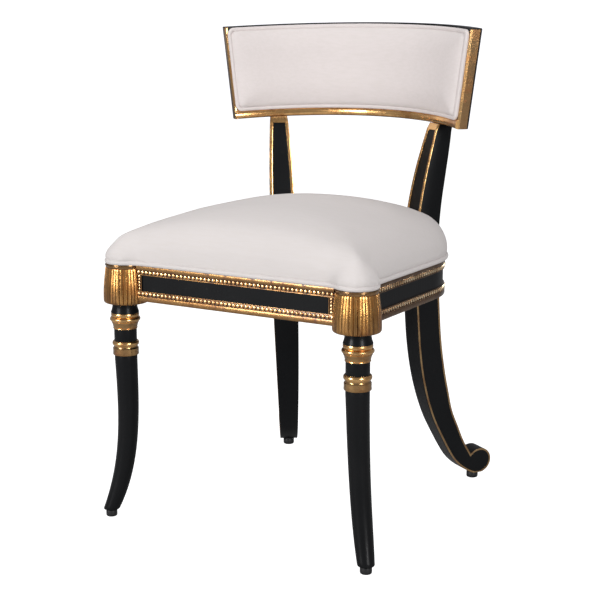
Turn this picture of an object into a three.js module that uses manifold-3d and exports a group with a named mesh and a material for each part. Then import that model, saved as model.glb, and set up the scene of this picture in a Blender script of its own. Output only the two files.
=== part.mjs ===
// Klismos dining chair: sabre legs, reeded corner drums, a beaded seat frame and a curved tablet.
// Lengths are in millimetres, +Z is up, the sitter faces -Y and X = 0 is the middle plane.
// Y = 0 lies at the front legs until the last lines set the origin on the floor under the chair.
import * as THREE from 'three';
import { mergeVertices } from 'three/addons/utils/BufferGeometryUtils.js';
import Module from 'manifold-3d';

const wasm = await Module();
wasm.setup();

// Clearances between touching pieces, how far cutters run past what they cut, and how near two
// vertices lie when they are one
const fitGap = 0.3;
const softGap = 0.6;
const cutOverrun = 6;
const mergeDistance = 0.001;

// Front legs: a turned neck and two rings above a shank that splays out and forward
const legHalfSpan = 231.5;
const neckDrop = 7.3;
const neckRadius = 21.5;
const neckLength = 17.7;
const ringOneHeight = 29;
const ringOneRadius = 26.4;
const ringPitch = 51;
const ringTwoHeight = 25;
const ringTwoRadius = 23.3;
const shankRadius = 19.8;
const shankTaper = 3.2;
const ankleTaper = 2.2;
const kneeDrop = 34;
const splayOut = 32;
const splayForward = 22.5;
const legBow = 4.5;
const legTenonRadius = 11;
const legTenonLength = 40;

// Glides nailed under the four feet
const glideHeight = 13;
const glideRadius = 10;
const rearGlideRadius = 11;
const nailRadius = 1.5;
const nailLength = 15;

// Reeded drums at the front corners of the seat
const drumRadius = 39.7;
const drumInset = 3;
const drumSetback = 1.5;
const collarHeight = 7;
const reedDepth = 1.6;

// Seat rails: straight at the front and sides, arcs round the corners and the back
const railUnderside = 400;
const railHeight = 62;
const railThickness = 26;
const railOverhang = 6.5;
const ringFront = 10;
const ringSideLength = 265;
const ringCornerRadius = 150;
const railTongue = 18;

// Gilt mouldings along the rails: a plain fillet beside a row of beads
const filletProud = 3.4;
const beadBacking = 2;
const beadProud = 4.6;
const lowerFilletHeight = 9.5;
const upperFilletHeight = 7;
const beadHeight = 8.8;
const beadPitch = 8.1;
const endBeadWidth = 9;
const fieldMargin = 4;

// Rear legs: stile, sabre leg and scroll foot in one piece, set square to the seat's back corners
const rearLegInset = 113.4;
const rearLegSetback = 119.6;
const rearReach = 182;
const rearHeight = 686;
const rearWidth = 47.5;
const rearTopWidth = 34.1;
const rearFootWidth = 34.4;
const rearSlimAbove = 500;
const rearSlimBelow = 300;
const scrollRadius = 24.6;
const stileTenonLength = 34;
const stileTenonThickness = 10;
const stileTenonWidth = 22;

// Back tablet: a slice of a cone curved round the sitter, higher in the middle than at the ends
const tabletOverhang = 121.9;
const tabletFlare = 22.8;
const tabletHeight = 174;
const tabletCornerAdvance = 14.1;
const tabletArch = 8.8;
const boardThickness = 19;
const tabletDepth = 25;
const lipHeight = 2.5;
const stripHeight = 11;
const endStripWidth = 5;
const endStripBevel = 2.5;

// Back pad and its welt
const backWeltRadius = 4;
const backPadEdge = 4;
const backPadCrown = 16;
const backPadShoulder = 46;
const backPadCorner = 12;
const backWeltCorner = 9;
const backPadTopMargin = 2.5;
const backPadEndMargin = 1.5;
const weltButtGap = 0.4;

// Seat cushion with its plywood board, welt and dust cover
const cushionGrow = 8;
const cushionEarInset = 1.2;
const weltGrow = 5.3;
const weltEarInset = 6.9;
const weltClearance = 1;
const earBlend = 7;
const seatCornerRadius = 16;
const seatWeltRadius = 4.2;
const seatShoulder = 51;
const seatShoulderHeight = 51.5;
const seatCrown = 49.6;
const seatCrownHalfWidth = 250;
const seatCrownHalfLength = 250;
const seatCentreY = 201;
const seatBulge = 1.5;
const cushionCoreInset = 60;
const deckThickness = 12;
const deckInset = 7;
const dustCoverThickness = 1;
const dustCoverInset = 9;

// Joinery inside the frame
const braceHeight = 30;
const braceSpan = 70;
const rearBraceDepth = 46;
const rearBraceHalfLength = 54;
const dowelRadius = 4;
const dowelLength = 36;
const dowelSpacing = 28;
const screwRadius = 2.2;
const screwHeadRadius = 4.6;
const screwHeadHeight = 2.6;
const screwBite = 9;

// Angles in degrees
const rearTurnDegrees = 33.2;
const rearLeanDegrees = 1.815;
const tabletHalfDegrees = 47;

// Counts
const legSides = 13;
const shankSteps = 8;
const tenonSides = 12;
const rodSides = 8;
const glideSides = 12;
const cordSides = 6;
const reedCount = 36;
const drumCutterSides = 32;
const curveSteps = 16;
const rearFrontSteps = 30;
const rearBackSteps = 26;
const scrollSteps = 14;
const endBeadCount = 5;
const boardSteps = 24;
const earSteps = 10;
const frontHalfSteps = 4;
const sideSteps = 3;
const cornerSteps = 6;
const backHalfSteps = 5;
const seatWeltSteps = 68;
const rearWeltSteps = 16;
const padLongSteps = 8;
const padShortSteps = 4;
const padCornerSteps = 4;
const backWeltSteps = 68;

// Powers that shape the tapers, the leg's curve and the cushion's crown
const splayOutPower = 3.06;
const splayForwardPower = 4.25;
const shankTaperPower = 0.8;
const ankleTaperPower = 8;
const stileSlimPower = 1.9;
const footSlimPower = 1.15;
const crownAcrossPower = 2.17;
const crownAlongPower = 3.36;
const shoulderPower = 2.4;

// Turned outline of each ring as shares: down its height, out to its radius
const neckShares = [[0, 1], [0.55, 1.005], [0.85, 1.08]];
const ringOneShares = [
  [0, 0.947], [0.05, 0.864], [0.17, 0.909], [0.27, 0.875], [0.37, 1], [0.5, 0.89], [1, 0.777],
];
const ringTwoShares = [[0, 0.92], [0.18, 1], [0.5, 0.88], [0.56, 0.97], [1, 0.97]];

// Bell outline of the reeded drum as shares: up the reeds' height, out to the drum's radius
const drumShares = [[0, 0.9], [0.07, 1], [1, 0.885]];
const collarShares = [[0.15, 0.915], [1, 0.91]];

// Glide's outline as shares of its radius and its height
const glideShares = [[0, 0], [0.86, 0], [1, 0.25], [1, 0.8], [0.9, 1]];

// Rear leg's side view as shares of its reach and of its height, from the top down
const rearFrontShares = [
  [0.231, 1.02], [0.209, 1], [0.146, 0.94], [0.085, 0.875], [0.033, 0.802], [0, 0.729], [-0.009, 0.663],
  [-0.004, 0.58], [0.02, 0.5], [0.052, 0.415], [0.096, 0.3426], [0.154, 0.28], [0.2225, 0.226],
  [0.302, 0.178], [0.4615, 0.102], [0.563, 0.0633], [0.687, 0.035], [0.797, 0.0197], [0.84, 0.0182],
];
const rearBackShares = [
  [0.3785, 1.02], [0.368, 1], [0.342, 0.9475], [0.2995, 0.875], [0.26, 0.802], [0.239, 0.729],
  [0.2407, 0.6706], [0.2533, 0.612], [0.2665, 0.554], [0.285, 0.4956], [0.3066, 0.437], [0.341, 0.379],
  [0.386, 0.3207], [0.434, 0.27], [0.489, 0.2157], [0.5687, 0.1687], [0.651, 0.1217], [0.7527, 0.0773],
];
const scrollCentreShare = [0.868, 0.0547];
const rearGlideShare = 0.846;

// How far each facet of a bead stands out, and the rings of each soft form from rim to middle
const beadShares = [0, 1];
const cushionRimShares = [0.035, 0.07, 0.12, 0.2, 0.3, 0.42, 0.58, 0.78, 1];
const cushionCoreShares = [0.45];
const backPadRimShares = [0.015, 0.05, 0.11, 0.2, 0.36, 0.58, 0.82];
const backPadHiddenShares = [0.65, 0.3, 0];
const braceScrewShare = 0.31;

const turn = THREE.MathUtils.degToRad(rearTurnDegrees);
const lean = THREE.MathUtils.degToRad(rearLeanDegrees);
const tabletEnd = THREE.MathUtils.degToRad(tabletHalfDegrees);
const railTop = railUnderside + railHeight;
const railMiddle = railUnderside + railHeight / 2;
const footPlane = glideHeight + fitGap;
const neckTop = railUnderside - neckDrop;
const ringOneTop = neckTop - neckLength;
const ringTwoTop = ringOneTop - ringPitch;
const kneeHeight = ringTwoTop - kneeDrop;
const ringHalfWidth = legHalfSpan + railOverhang;
const fieldHalfWidth = legHalfSpan - drumInset - drumRadius - fieldMargin;
const cushionEarRadius = drumRadius - cushionEarInset;
const weltEarRadius = drumRadius - weltEarInset;
const rearAnchorX = ringHalfWidth - rearLegInset;
const rearAnchorY = ringSideLength + rearLegSetback;
const tabletHalfBottom = rearAnchorX + tabletOverhang;
const tabletHalfTop = tabletHalfBottom + tabletFlare;
const tabletBottom = rearHeight;
const tabletCornerY = rearAnchorY - tabletCornerAdvance;

// Finishes
const black = { color: 0x222223, roughness: 0.5, metalness: 0 };
const gilt = { color: 0xb8863b, roughness: 0.35, metalness: 0.9 };
const fabric = { color: 0xe2d9d3, roughness: 0.95, metalness: 0 };
const beech = { color: 0xc79f6d, roughness: 0.7, metalness: 0 };
const plywood = { color: 0xb98f5c, roughness: 0.8, metalness: 0 };
const cambric = { color: 0x2a2a2b, roughness: 1, metalness: 0 };
const nylon = { color: 0x18181a, roughness: 0.4, metalness: 0 };
const steel = { color: 0x9a9a9c, roughness: 0.35, metalness: 1 };

// Solids

// Signed volume: negative when the triangles face inwards
function signedVolume(geometry) {
  const position = geometry.attributes.position;
  const corner = [new THREE.Vector3(), new THREE.Vector3(), new THREE.Vector3()];
  let volume = 0;
  for (let i = 0; i < geometry.index.count; i += 3) {
    corner.forEach((point, k) => point.fromBufferAttribute(position, geometry.index.getX(i + k)));
    volume += corner[0].dot(corner[1].cross(corner[2])) / 6;
  }
  return volume;
}

// The same geometry with every triangle turned over
function turnedOver(geometry) {
  const index = Array.from(geometry.index.array);
  for (let i = 0; i < index.length; i += 3) [index[i + 1], index[i + 2]] = [index[i + 2], index[i + 1]];
  geometry.setIndex(index);
  return geometry;
}

function facingOut(geometry) {
  return signedVolume(geometry) < 0 ? turnedOver(geometry) : geometry;
}

// Keeps a closed geometry's positions only, with shared vertices merged
function bare(geometry) {
  geometry.deleteAttribute('normal');
  geometry.deleteAttribute('uv');
  return facingOut(mergeVertices(geometry, mergeDistance));
}

function solid(geometry) {
  return new wasm.Manifold(new wasm.Mesh({
    numProp: 3,
    vertProperties: new Float32Array(geometry.attributes.position.array),
    triVerts: new Uint32Array(geometry.index.array),
  }));
}

function geometryOf(body) {
  const mesh = body.getMesh();
  const geometry = new THREE.BufferGeometry();
  geometry.setAttribute('position', new THREE.BufferAttribute(mesh.vertProperties, 3));
  geometry.setIndex(new THREE.BufferAttribute(mesh.triVerts, 1));
  return geometry;
}

function cut(geometry, ...cutters) {
  return geometryOf(cutters.reduce((body, cutter) => body.subtract(solid(cutter)), solid(geometry)));
}

function join(geometry, ...additions) {
  return geometryOf(additions.reduce((body, addition) => body.add(solid(addition)), solid(geometry)));
}

// A right piece reflected in the middle plane
function mirrored(geometry) {
  return turnedOver(geometry.clone().scale(-1, 1, 1));
}

function both(geometry) {
  return [geometry, mirrored(geometry)];
}

// A plan outline lifted into a plate
function plate(points, bottom, height) {
  const settings = { depth: height, bevelEnabled: false, curveSegments: 1 };
  return bare(new THREE.ExtrudeGeometry(new THREE.Shape(points), settings).translate(0, 0, bottom));
}

// Closed surface through rings of equal count, with a fan over the first and the last
function ringStack(rings) {
  const count = rings[0].length;
  const points = rings.flat();
  const index = [];
  for (let r = 0; r < rings.length - 1; r += 1) {
    for (let k = 0; k < count; k += 1) {
      const a = r * count + k;
      const b = r * count + ((k + 1) % count);
      index.push(a, b, b + count, a, b + count, a + count);
    }
  }
  for (const r of [0, rings.length - 1]) {
    const hub = points.length;
    points.push(rings[r].reduce((sum, p) => sum.add(p), new THREE.Vector3()).divideScalar(count));
    for (let k = 0; k < count; k += 1) {
      const pair = [r * count + k, r * count + ((k + 1) % count)];
      index.push(hub, ...(r ? pair : pair.reverse()));
    }
  }
  return facingOut(new THREE.BufferGeometry().setFromPoints(points).setIndex(index));
}

function upright(radius, bottom, height, x, y, sides) {
  const geometry = new THREE.CylinderGeometry(radius, radius, height, sides).rotateX(Math.PI / 2);
  return bare(geometry.translate(x, y, bottom + height / 2));
}

// A round rod of a given length with its middle at a point, lying along a direction
function rod(radius, length, middle, direction) {
  const geometry = new THREE.CylinderGeometry(radius, radius, length, rodSides);
  geometry.applyQuaternion(new THREE.Quaternion().setFromUnitVectors(new THREE.Vector3(0, 1, 0), direction));
  return bare(geometry.translate(middle.x, middle.y, middle.z));
}

// A solid turned about an upright line, from outline points of radius and height
function turned(outline, sides, x, y) {
  const points = outline.map(([radius, height]) => new THREE.Vector2(radius, height));
  return bare(new THREE.LatheGeometry(points, sides).rotateX(Math.PI / 2).translate(x, y, 0));
}

function arc(centreX, centreY, radius, from, to, steps) {
  return Array.from({ length: steps + 1 }, (_, i) => {
    const angle = from + ((to - from) * i) / steps;
    return new THREE.Vector2(centreX + radius * Math.cos(angle), centreY + radius * Math.sin(angle));
  });
}

function circle(centreX, centreY, radius, sides) {
  return arc(centreX, centreY, radius, 0, 2 * Math.PI, sides).slice(1);
}

// A cord along a line of points
function cord(points, radius, steps) {
  const section = new THREE.Shape(circle(0, 0, radius, cordSides));
  const extrudePath = new THREE.CatmullRomCurve3(points);
  return bare(new THREE.ExtrudeGeometry(section, { steps, bevelEnabled: false, extrudePath }));
}

function atHeight(points, z) {
  return points.map((p) => new THREE.Vector3(p.x, p.y, z));
}

function spaced(from, to, steps) {
  return Array.from({ length: steps }, (_, i) => from.clone().lerp(to, i / steps));
}

// The left half of an outline follows its right half, less the points on the middle plane
function withLeftHalf(right) {
  return [...right, ...right.slice(1, -1).reverse().map((p) => new THREE.Vector2(-p.x, p.y))];
}

const chair = new THREE.Group();

function add(name, geometry, finish) {
  geometry.computeVertexNormals();
  const mesh = new THREE.Mesh(geometry, new THREE.MeshStandardMaterial(finish));
  mesh.name = name;
  chair.add(mesh);
}

function addPair(name, geometry, finish) {
  add(`${name}_right`, geometry, finish);
  add(`${name}_left`, mirrored(geometry), finish);
}

// Front legs

// The leg's middle line bows back a little, then splays out and forward to the foot
function legAxisAt(z) {
  const t = Math.max(0, (kneeHeight - z) / kneeHeight);
  return new THREE.Vector2(
    legHalfSpan + splayOut * t ** splayOutPower,
    legBow * Math.sin(Math.PI * t) - splayForward * t ** splayForwardPower,
  );
}

function ringOutline(shares, top, height, radius) {
  return shares.map(([down, out]) => [top - down * height, out * radius]);
}

function shankOutline(steps) {
  return Array.from({ length: steps + 1 }, (_, i) => {
    const t = i / steps;
    const slimmer = shankTaper * t ** shankTaperPower + ankleTaper * t ** ankleTaperPower;
    return [kneeHeight + (footPlane - kneeHeight) * t, shankRadius - slimmer];
  });
}

function frontLeg() {
  const outline = [
    ...ringOutline(neckShares, neckTop, neckTop - ringOneTop, neckRadius),
    ...ringOutline(ringOneShares, ringOneTop, ringOneHeight, ringOneRadius),
    [ringOneTop - ringOneHeight - fitGap, shankRadius],
    [ringTwoTop + fitGap, shankRadius],
    ...ringOutline(ringTwoShares, ringTwoTop, ringTwoHeight, ringTwoRadius),
    [ringTwoTop - ringTwoHeight - fitGap, shankRadius],
    ...shankOutline(shankSteps),
  ];
  const rings = outline.reverse().map(([z, radius]) => {
    const axis = legAxisAt(z);
    return atHeight(circle(axis.x, axis.y, radius, legSides), z);
  });
  const tenon = upright(
    legTenonRadius, neckTop - cutOverrun, legTenonLength + cutOverrun, legHalfSpan, 0, tenonSides,
  );
  return join(ringStack(rings), tenon);
}

function nailHole(x, y) {
  return upright(nailRadius + fitGap, footPlane - cutOverrun, nailLength + cutOverrun, x, y, rodSides);
}

const frontFoot = legAxisAt(footPlane);
addPair('front_leg', cut(frontLeg(), nailHole(frontFoot.x, frontFoot.y)), black);

// Glide: a domed disc with its nail, standing on the floor under a foot
function glide(radius, foot) {
  const disc = glideShares.map(([out, up]) => [radius * out, glideHeight * up]);
  const nailTop = glideHeight + nailLength - fitGap;
  const nail = [[nailRadius, glideHeight], [nailRadius, nailTop], [0, nailTop]];
  return turned([...disc, ...nail], glideSides, foot.x, foot.y);
}

addPair('front_glide', glide(glideRadius, frontFoot), nylon);

// Corner drums
const drumX = legHalfSpan - drumInset;
const drumBottom = neckTop + fitGap;
const reedHeight = railTop - drumBottom - collarHeight;

// Ring of reeds: each has a valley and a crest
function reedRing(radius, z, depth) {
  return circle(0, 0, 1, reedCount * 2).map((unit, k) => {
    const r = radius - (k % 2 ? 0 : depth);
    return new THREE.Vector3(drumX + unit.x * r, drumSetback + unit.y * r, z);
  });
}

function drumRings() {
  const reeds = drumShares.map(([up, out]) => (
    reedRing(drumRadius * out, drumBottom + reedHeight * up, reedDepth)
  ));
  const collar = collarShares.map(([up, out]) => (
    reedRing(drumRadius * out, railTop - collarHeight + collarHeight * up, 0)
  ));
  return [...reeds, ...collar];
}

// The drum's envelope with clearance, which shapes the ends of everything that meets it
function drumCutter() {
  const outward = 1 / Math.cos(Math.PI / drumCutterSides);
  const collarOut = collarShares[0][1];
  const levels = [
    [-cutOverrun, 1],
    ...drumShares.slice(1).map(([up, out]) => [reedHeight * up, out]),
    [reedHeight + fitGap, collarOut],
    [reedHeight + collarHeight + cutOverrun, collarOut],
  ];
  return ringStack(levels.map(([up, out]) => {
    const radius = (drumRadius * out + fitGap) * outward;
    return atHeight(circle(drumX, drumSetback, radius, drumCutterSides), drumBottom + up);
  }));
}

const drumCutters = both(drumCutter());
const tenonBore = upright(
  legTenonRadius + fitGap, drumBottom - cutOverrun, legTenonLength + cutOverrun, legHalfSpan, 0, tenonSides,
);

// Seat frame in plan, run anticlockwise so that outwards is on the right of the way along
const cornerX = ringHalfWidth - ringCornerRadius;
const cornerSweep = Math.PI / 2 - turn;
const cornerEnd = arc(cornerX, ringSideLength, ringCornerRadius, 0, cornerSweep, 1)[1];
const backRadius = cornerEnd.x / Math.sin(turn);
const backCentreY = cornerEnd.y - backRadius * Math.cos(turn);
const backSweep = turn - rearWidth / 2 / backRadius;

const frontPath = new THREE.Path([
  new THREE.Vector2(-ringHalfWidth, -ringFront), new THREE.Vector2(ringHalfWidth, -ringFront),
]);
const sidePath = new THREE.Path([
  new THREE.Vector2(ringHalfWidth, 0), new THREE.Vector2(ringHalfWidth, ringSideLength),
]);
sidePath.absarc(
  cornerX, ringSideLength, ringCornerRadius, 0, cornerSweep + railTongue / ringCornerRadius, false,
);
const backPath = new THREE.Path();
backPath.absarc(0, backCentreY, backRadius, Math.PI / 2 - backSweep, Math.PI / 2 + backSweep, false);

// Points beside a plan path, each set out by what outAt gives for its step
function beside(path, steps, outAt) {
  return Array.from({ length: steps + 1 }, (_, i) => {
    const point = path.getPoint(i / steps);
    const along = path.getTangent(i / steps);
    return new THREE.Vector2(point.x + along.y * outAt(i), point.y - along.x * outAt(i));
  });
}

function strip(path, steps, inner, outside, bottom, height) {
  return plate([...outside, ...beside(path, steps, () => inner).reverse()], bottom, height);
}

function plainStrip(path, steps, inner, outer, bottom, height) {
  return strip(path, steps, inner, beside(path, steps, () => outer), bottom, height);
}

// Rear legs

// A point of the right rear leg's own frame: reach backwards, across it and up
function onRearLeg(reach, across, z) {
  const out = across + z * Math.tan(lean);
  return new THREE.Vector3(
    rearAnchorX + reach * Math.sin(turn) + out * Math.cos(turn),
    rearAnchorY + reach * Math.cos(turn) - out * Math.sin(turn),
    z,
  );
}

function rearWidthAt(z) {
  const above = Math.max(0, (z - rearSlimAbove) / (rearHeight - rearSlimAbove));
  const below = Math.max(0, (rearSlimBelow - z) / rearSlimBelow);
  return rearWidth
    - (rearWidth - rearTopWidth) * above ** stileSlimPower
    - (rearWidth - rearFootWidth) * below ** footSlimPower;
}

function rearSpline(shares, steps) {
  const points = shares.map(([reach, up]) => new THREE.Vector2(reach * rearReach, up * rearHeight));
  return new THREE.SplineCurve(points).getPoints(steps);
}

// The side view: down the front edge, round the scroll and up the back edge from the cusp
function rearOutline() {
  const front = rearSpline(rearFrontShares, rearFrontSteps);
  const back = rearSpline(rearBackShares, rearBackSteps).reverse();
  const centre = new THREE.Vector2(scrollCentreShare[0] * rearReach, scrollCentreShare[1] * rearHeight);
  const from = front[front.length - 1].clone().sub(centre).angle() - 2 * Math.PI;
  const to = back[0].clone().sub(centre).angle();
  const scroll = arc(centre.x, centre.y, scrollRadius, from, to, scrollSteps).slice(1, -1);
  return [...front, ...scroll, ...back];
}

// Each point of a closed anticlockwise outline moved outwards
function outset(outline, distance) {
  return outline.map((point, i) => {
    const before = outline[(i + outline.length - 1) % outline.length];
    const along = outline[(i + 1) % outline.length].clone().sub(before).normalize();
    return new THREE.Vector2(point.x + along.y * distance, point.y - along.x * distance);
  });
}

// The rear leg as a solid, grown all round by a clearance when it is used as a cutter
function rearBlank(grow) {
  const geometry = plate(outset(rearOutline(), grow), -0.5, 1);
  const position = geometry.attributes.position;
  for (let i = 0; i < position.count; i += 1) {
    const z = position.getY(i);
    const across = position.getZ(i) * (rearWidthAt(z) + 2 * grow);
    const placed = onRearLeg(position.getX(i), across, z);
    position.setXYZ(i, placed.x, placed.y, placed.z);
  }
  return geometry;
}

const rearLegCutters = both(rearBlank(fitGap));
const rearLegSoftCutters = both(rearBlank(softGap));

// Back tablet

// A point of the tablet: angle round the sitter, depth forward of its back face, share of height
function onTablet(angle, depth, up) {
  const half = tabletHalfBottom + (tabletHalfTop - tabletHalfBottom) * up;
  const radius = half / Math.sin(tabletEnd);
  const rise = (Math.cos(angle) - Math.cos(tabletEnd)) / (1 - Math.cos(tabletEnd));
  return new THREE.Vector3(
    (radius - depth) * Math.sin(angle),
    tabletCornerY + (radius - depth) * Math.cos(angle) - radius * Math.cos(tabletEnd),
    tabletBottom + tabletHeight * up + tabletArch * rise,
  );
}

const tabletRadius = (tabletHalfBottom + tabletHalfTop) / 2 / Math.sin(tabletEnd);

// A length of the tablet between two angles, two depths and two shares of its height
function tabletSlice(angles, depths, ups, steps) {
  return ringStack(Array.from({ length: steps + 1 }, (_, i) => {
    const angle = angles[0] + ((angles[1] - angles[0]) * i) / steps;
    return [
      onTablet(angle, depths[0], ups[0]), onTablet(angle, depths[1], ups[0]),
      onTablet(angle, depths[1], ups[1]), onTablet(angle, depths[0], ups[1]),
    ];
  }));
}

const stileTop = onRearLeg(
  (rearReach * (rearFrontShares[1][0] + rearBackShares[1][0])) / 2, 0, rearHeight,
);
const stileAngle = Math.atan2(
  stileTop.x, stileTop.y - tabletCornerY + tabletHalfBottom / Math.tan(tabletEnd),
);

// Tenon that ties a stile into the tablet, following the board's slope
function stileTenon(grow) {
  const sweep = (stileTenonWidth / 2 + grow) / tabletRadius;
  const near = (boardThickness - stileTenonThickness) / 2 - grow;
  return tabletSlice(
    [stileAngle - sweep, stileAngle + sweep],
    [near, boardThickness - near],
    [-stileTenonWidth / 2 / tabletHeight, (stileTenonLength + grow) / tabletHeight],
    1,
  );
}

const underTablet = tabletSlice(
  [-tabletEnd, tabletEnd],
  [-2 * boardThickness, 3 * boardThickness],
  [-fitGap / tabletHeight, stileTenonLength / tabletHeight],
  boardSteps,
);

// Dowels: two across every joint between a rail and a drum or a rear leg
const railReach = cornerEnd.clone().sub(new THREE.Vector2(rearAnchorX, rearAnchorY))
  .dot(new THREE.Vector2(Math.sin(turn), Math.cos(turn))) - railThickness / 2;
const acrossLeg = new THREE.Vector3(Math.cos(turn), -Math.sin(turn), 0);
const frontRailY = railThickness / 2 - ringFront;
const drumFaceX = drumX - Math.sqrt(drumRadius ** 2 - (frontRailY - drumSetback) ** 2);

const dowelJoints = {
  front: {
    direction: new THREE.Vector3(1, 0, 0),
    middleAt: (z) => new THREE.Vector3(drumFaceX, frontRailY, z),
  },
  side: {
    direction: new THREE.Vector3(0, 1, 0),
    middleAt: (z) => new THREE.Vector3(ringHalfWidth - railThickness / 2, drumSetback + drumRadius, z),
  },
  stile_side: { direction: acrossLeg, middleAt: (z) => onRearLeg(railReach, rearWidth / 2, z) },
  stile_back: { direction: acrossLeg, middleAt: (z) => onRearLeg(railReach, -rearWidth / 2, z) },
};
const dowelLevels = { lower: railMiddle - dowelSpacing / 2, upper: railMiddle + dowelSpacing / 2 };
const dowelHoles = {};

for (const [joint, { direction, middleAt }] of Object.entries(dowelJoints)) {
  dowelHoles[joint] = Object.values(dowelLevels).map((z) => (
    rod(dowelRadius + fitGap, dowelLength + 2 * fitGap, middleAt(z), direction)
  ));
  for (const [level, z] of Object.entries(dowelLevels)) {
    addPair(`dowel_${joint}_${level}`, rod(dowelRadius, dowelLength, middleAt(z), direction), beech);
  }
}

addPair('corner_drum', cut(
  ringStack(drumRings()), tenonBore, ...dowelHoles.front, ...dowelHoles.side,
), gilt);

// Rear legs, cut flat under the scroll for their glides and shaped to the tablet's lower edge
const rearFoot = onRearLeg(rearGlideShare * rearReach, 0, footPlane);

function rearLeg() {
  const floorCut = upright(rearReach, -cutOverrun, cutOverrun + footPlane, rearFoot.x, rearFoot.y, rodSides);
  const shaped = cut(
    rearBlank(0), underTablet, floorCut, nailHole(rearFoot.x, rearFoot.y),
    ...dowelHoles.stile_side, ...dowelHoles.stile_back,
  );
  return join(shaped, stileTenon(0));
}

addPair('rear_leg', rearLeg(), black);
addPair('rear_glide', glide(rearGlideRadius, rearFoot), nylon);

// Seat rails
function rail(path, steps) {
  return plainStrip(path, steps, -railThickness, 0, railUnderside, railHeight);
}

add('front_rail', cut(rail(frontPath, 1), ...drumCutters, ...dowelHoles.front.flatMap(both)), black);
addPair('side_rail', cut(
  rail(sidePath, curveSteps), drumCutters[0], rearLegCutters[0], ...dowelHoles.side, ...dowelHoles.stile_side,
), black);
add('back_rail', cut(
  rail(backPath, curveSteps), ...rearLegCutters, ...dowelHoles.stile_back.flatMap(both),
), black);

// Rail mouldings

// Outline of a row of beads that stand out past their backing
function beadLine(path, count) {
  const outAt = (i) => beadBacking + (beadProud - beadBacking) * beadShares[i % beadShares.length];
  return beside(path, count * beadShares.length, outAt);
}

function moulding(path, steps, filletBottom, filletHeight, beadBottom) {
  const beads = beadLine(path, Math.round(path.getLength() / beadPitch));
  return join(
    plainStrip(path, steps, fitGap, filletProud, filletBottom, filletHeight),
    strip(path, steps, fitGap, beads, beadBottom, beadHeight),
  );
}

function lowerMoulding(path, steps) {
  return moulding(path, steps, railUnderside, lowerFilletHeight, railUnderside + lowerFilletHeight);
}

function upperMoulding(path, steps) {
  const filletBottom = railTop - upperFilletHeight;
  return moulding(path, steps, filletBottom, upperFilletHeight, filletBottom - beadHeight);
}

for (const [level, shape] of [['lower', lowerMoulding], ['upper', upperMoulding]]) {
  add(`front_${level}_moulding`, cut(shape(frontPath, 1), ...drumCutters), gilt);
  addPair(`side_${level}_moulding`, cut(
    shape(sidePath, curveSteps), drumCutters[0], rearLegCutters[0],
  ), gilt);
  add(`back_${level}_moulding`, cut(shape(backPath, curveSteps), ...rearLegCutters), gilt);
}

// Short upright rows of beads that close the front field beside the drums
function endBeads() {
  const bottom = railUnderside + lowerFilletHeight + beadHeight + fitGap;
  const top = railTop - upperFilletHeight - beadHeight - fitGap;
  const column = new THREE.Path([new THREE.Vector2(0, bottom), new THREE.Vector2(0, top)]);
  const row = strip(column, 1, fitGap, beadLine(column, endBeadCount), 0, endBeadWidth);
  row.applyMatrix4(new THREE.Matrix4().makeBasis(
    new THREE.Vector3(0, -1, 0), new THREE.Vector3(0, 0, 1), new THREE.Vector3(-1, 0, 0),
  ));
  return row.translate(fieldHalfWidth + endBeadWidth, -ringFront, 0);
}

addPair('front_end_beads', cut(endBeads(), drumCutters[0]), gilt);

// Seat in plan

// A round ear over the drum, set off from the straight edges by a short blend
function earCorner(front, side, radius) {
  const from = Math.asin((drumSetback - front) / radius) - Math.PI;
  const to = Math.acos((side - drumX) / radius);
  const trim = earBlend / radius;
  return [
    new THREE.Vector2(drumX + radius * Math.cos(from) - earBlend, front),
    ...arc(drumX, drumSetback, radius, from + trim, to - trim, earSteps),
    new THREE.Vector2(side, drumSetback + radius * Math.sin(to) + earBlend),
  ];
}

// A plain rounded corner with as many points as an ear
function roundCorner(front, side, radius) {
  return [
    new THREE.Vector2(side - radius - earBlend, front),
    ...arc(side - radius, front + radius, radius, -Math.PI / 2, 0, earSteps),
    new THREE.Vector2(side, front + radius + earBlend),
  ];
}

// Right half of the seat's outline at an offset from the rails' faces, from front to back middle;
// without an ear radius its front corners are plain
function seatHalf(grow, earRadius) {
  const front = -ringFront - grow;
  const side = ringHalfWidth + grow;
  const corner = earRadius ? earCorner(front, side, earRadius) : roundCorner(front, side, seatCornerRadius);
  const round = arc(cornerX, ringSideLength, ringCornerRadius + grow, 0, cornerSweep, cornerSteps);
  return [
    ...spaced(new THREE.Vector2(0, front), corner[0], frontHalfSteps),
    ...corner.slice(0, -1),
    ...spaced(corner[corner.length - 1], round[0], sideSteps),
    ...round,
    ...arc(0, backCentreY, backRadius + grow, Math.PI / 2 - turn, Math.PI / 2, backHalfSteps).slice(1),
  ];
}

function seatPlan(grow, earRadius) {
  return withLeftHalf(seatHalf(grow, earRadius));
}

// Corner braces screwed up into the seat board
const braceBottom = railTop - braceHeight;
const rimCorner = new THREE.Vector2(ringHalfWidth - railThickness, railThickness - ringFront);
const inward = new THREE.Vector2(-1, 1);
const frontScrewAt = rimCorner.clone().addScaledVector(inward, braceScrewShare * braceSpan);
const rearScrewAt = onRearLeg(-rearBraceDepth / 2, 0, railTop);

// What a rail and the space outside it take from a brace
function railCutter(path, steps) {
  return plainStrip(path, steps, -railThickness - fitGap, railThickness, railUnderside, 2 * railHeight);
}

function brace(outline, cutters) {
  return cut(plate(outline, braceBottom, braceHeight), railCutter(sidePath, curveSteps), ...cutters);
}

function frontBraceOutline() {
  const reach = braceSpan + cutOverrun;
  return [
    new THREE.Vector2(rimCorner.x + cutOverrun, rimCorner.y - cutOverrun),
    new THREE.Vector2(rimCorner.x + cutOverrun, rimCorner.y + reach),
    new THREE.Vector2(rimCorner.x - reach, rimCorner.y - cutOverrun),
  ];
}

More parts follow.
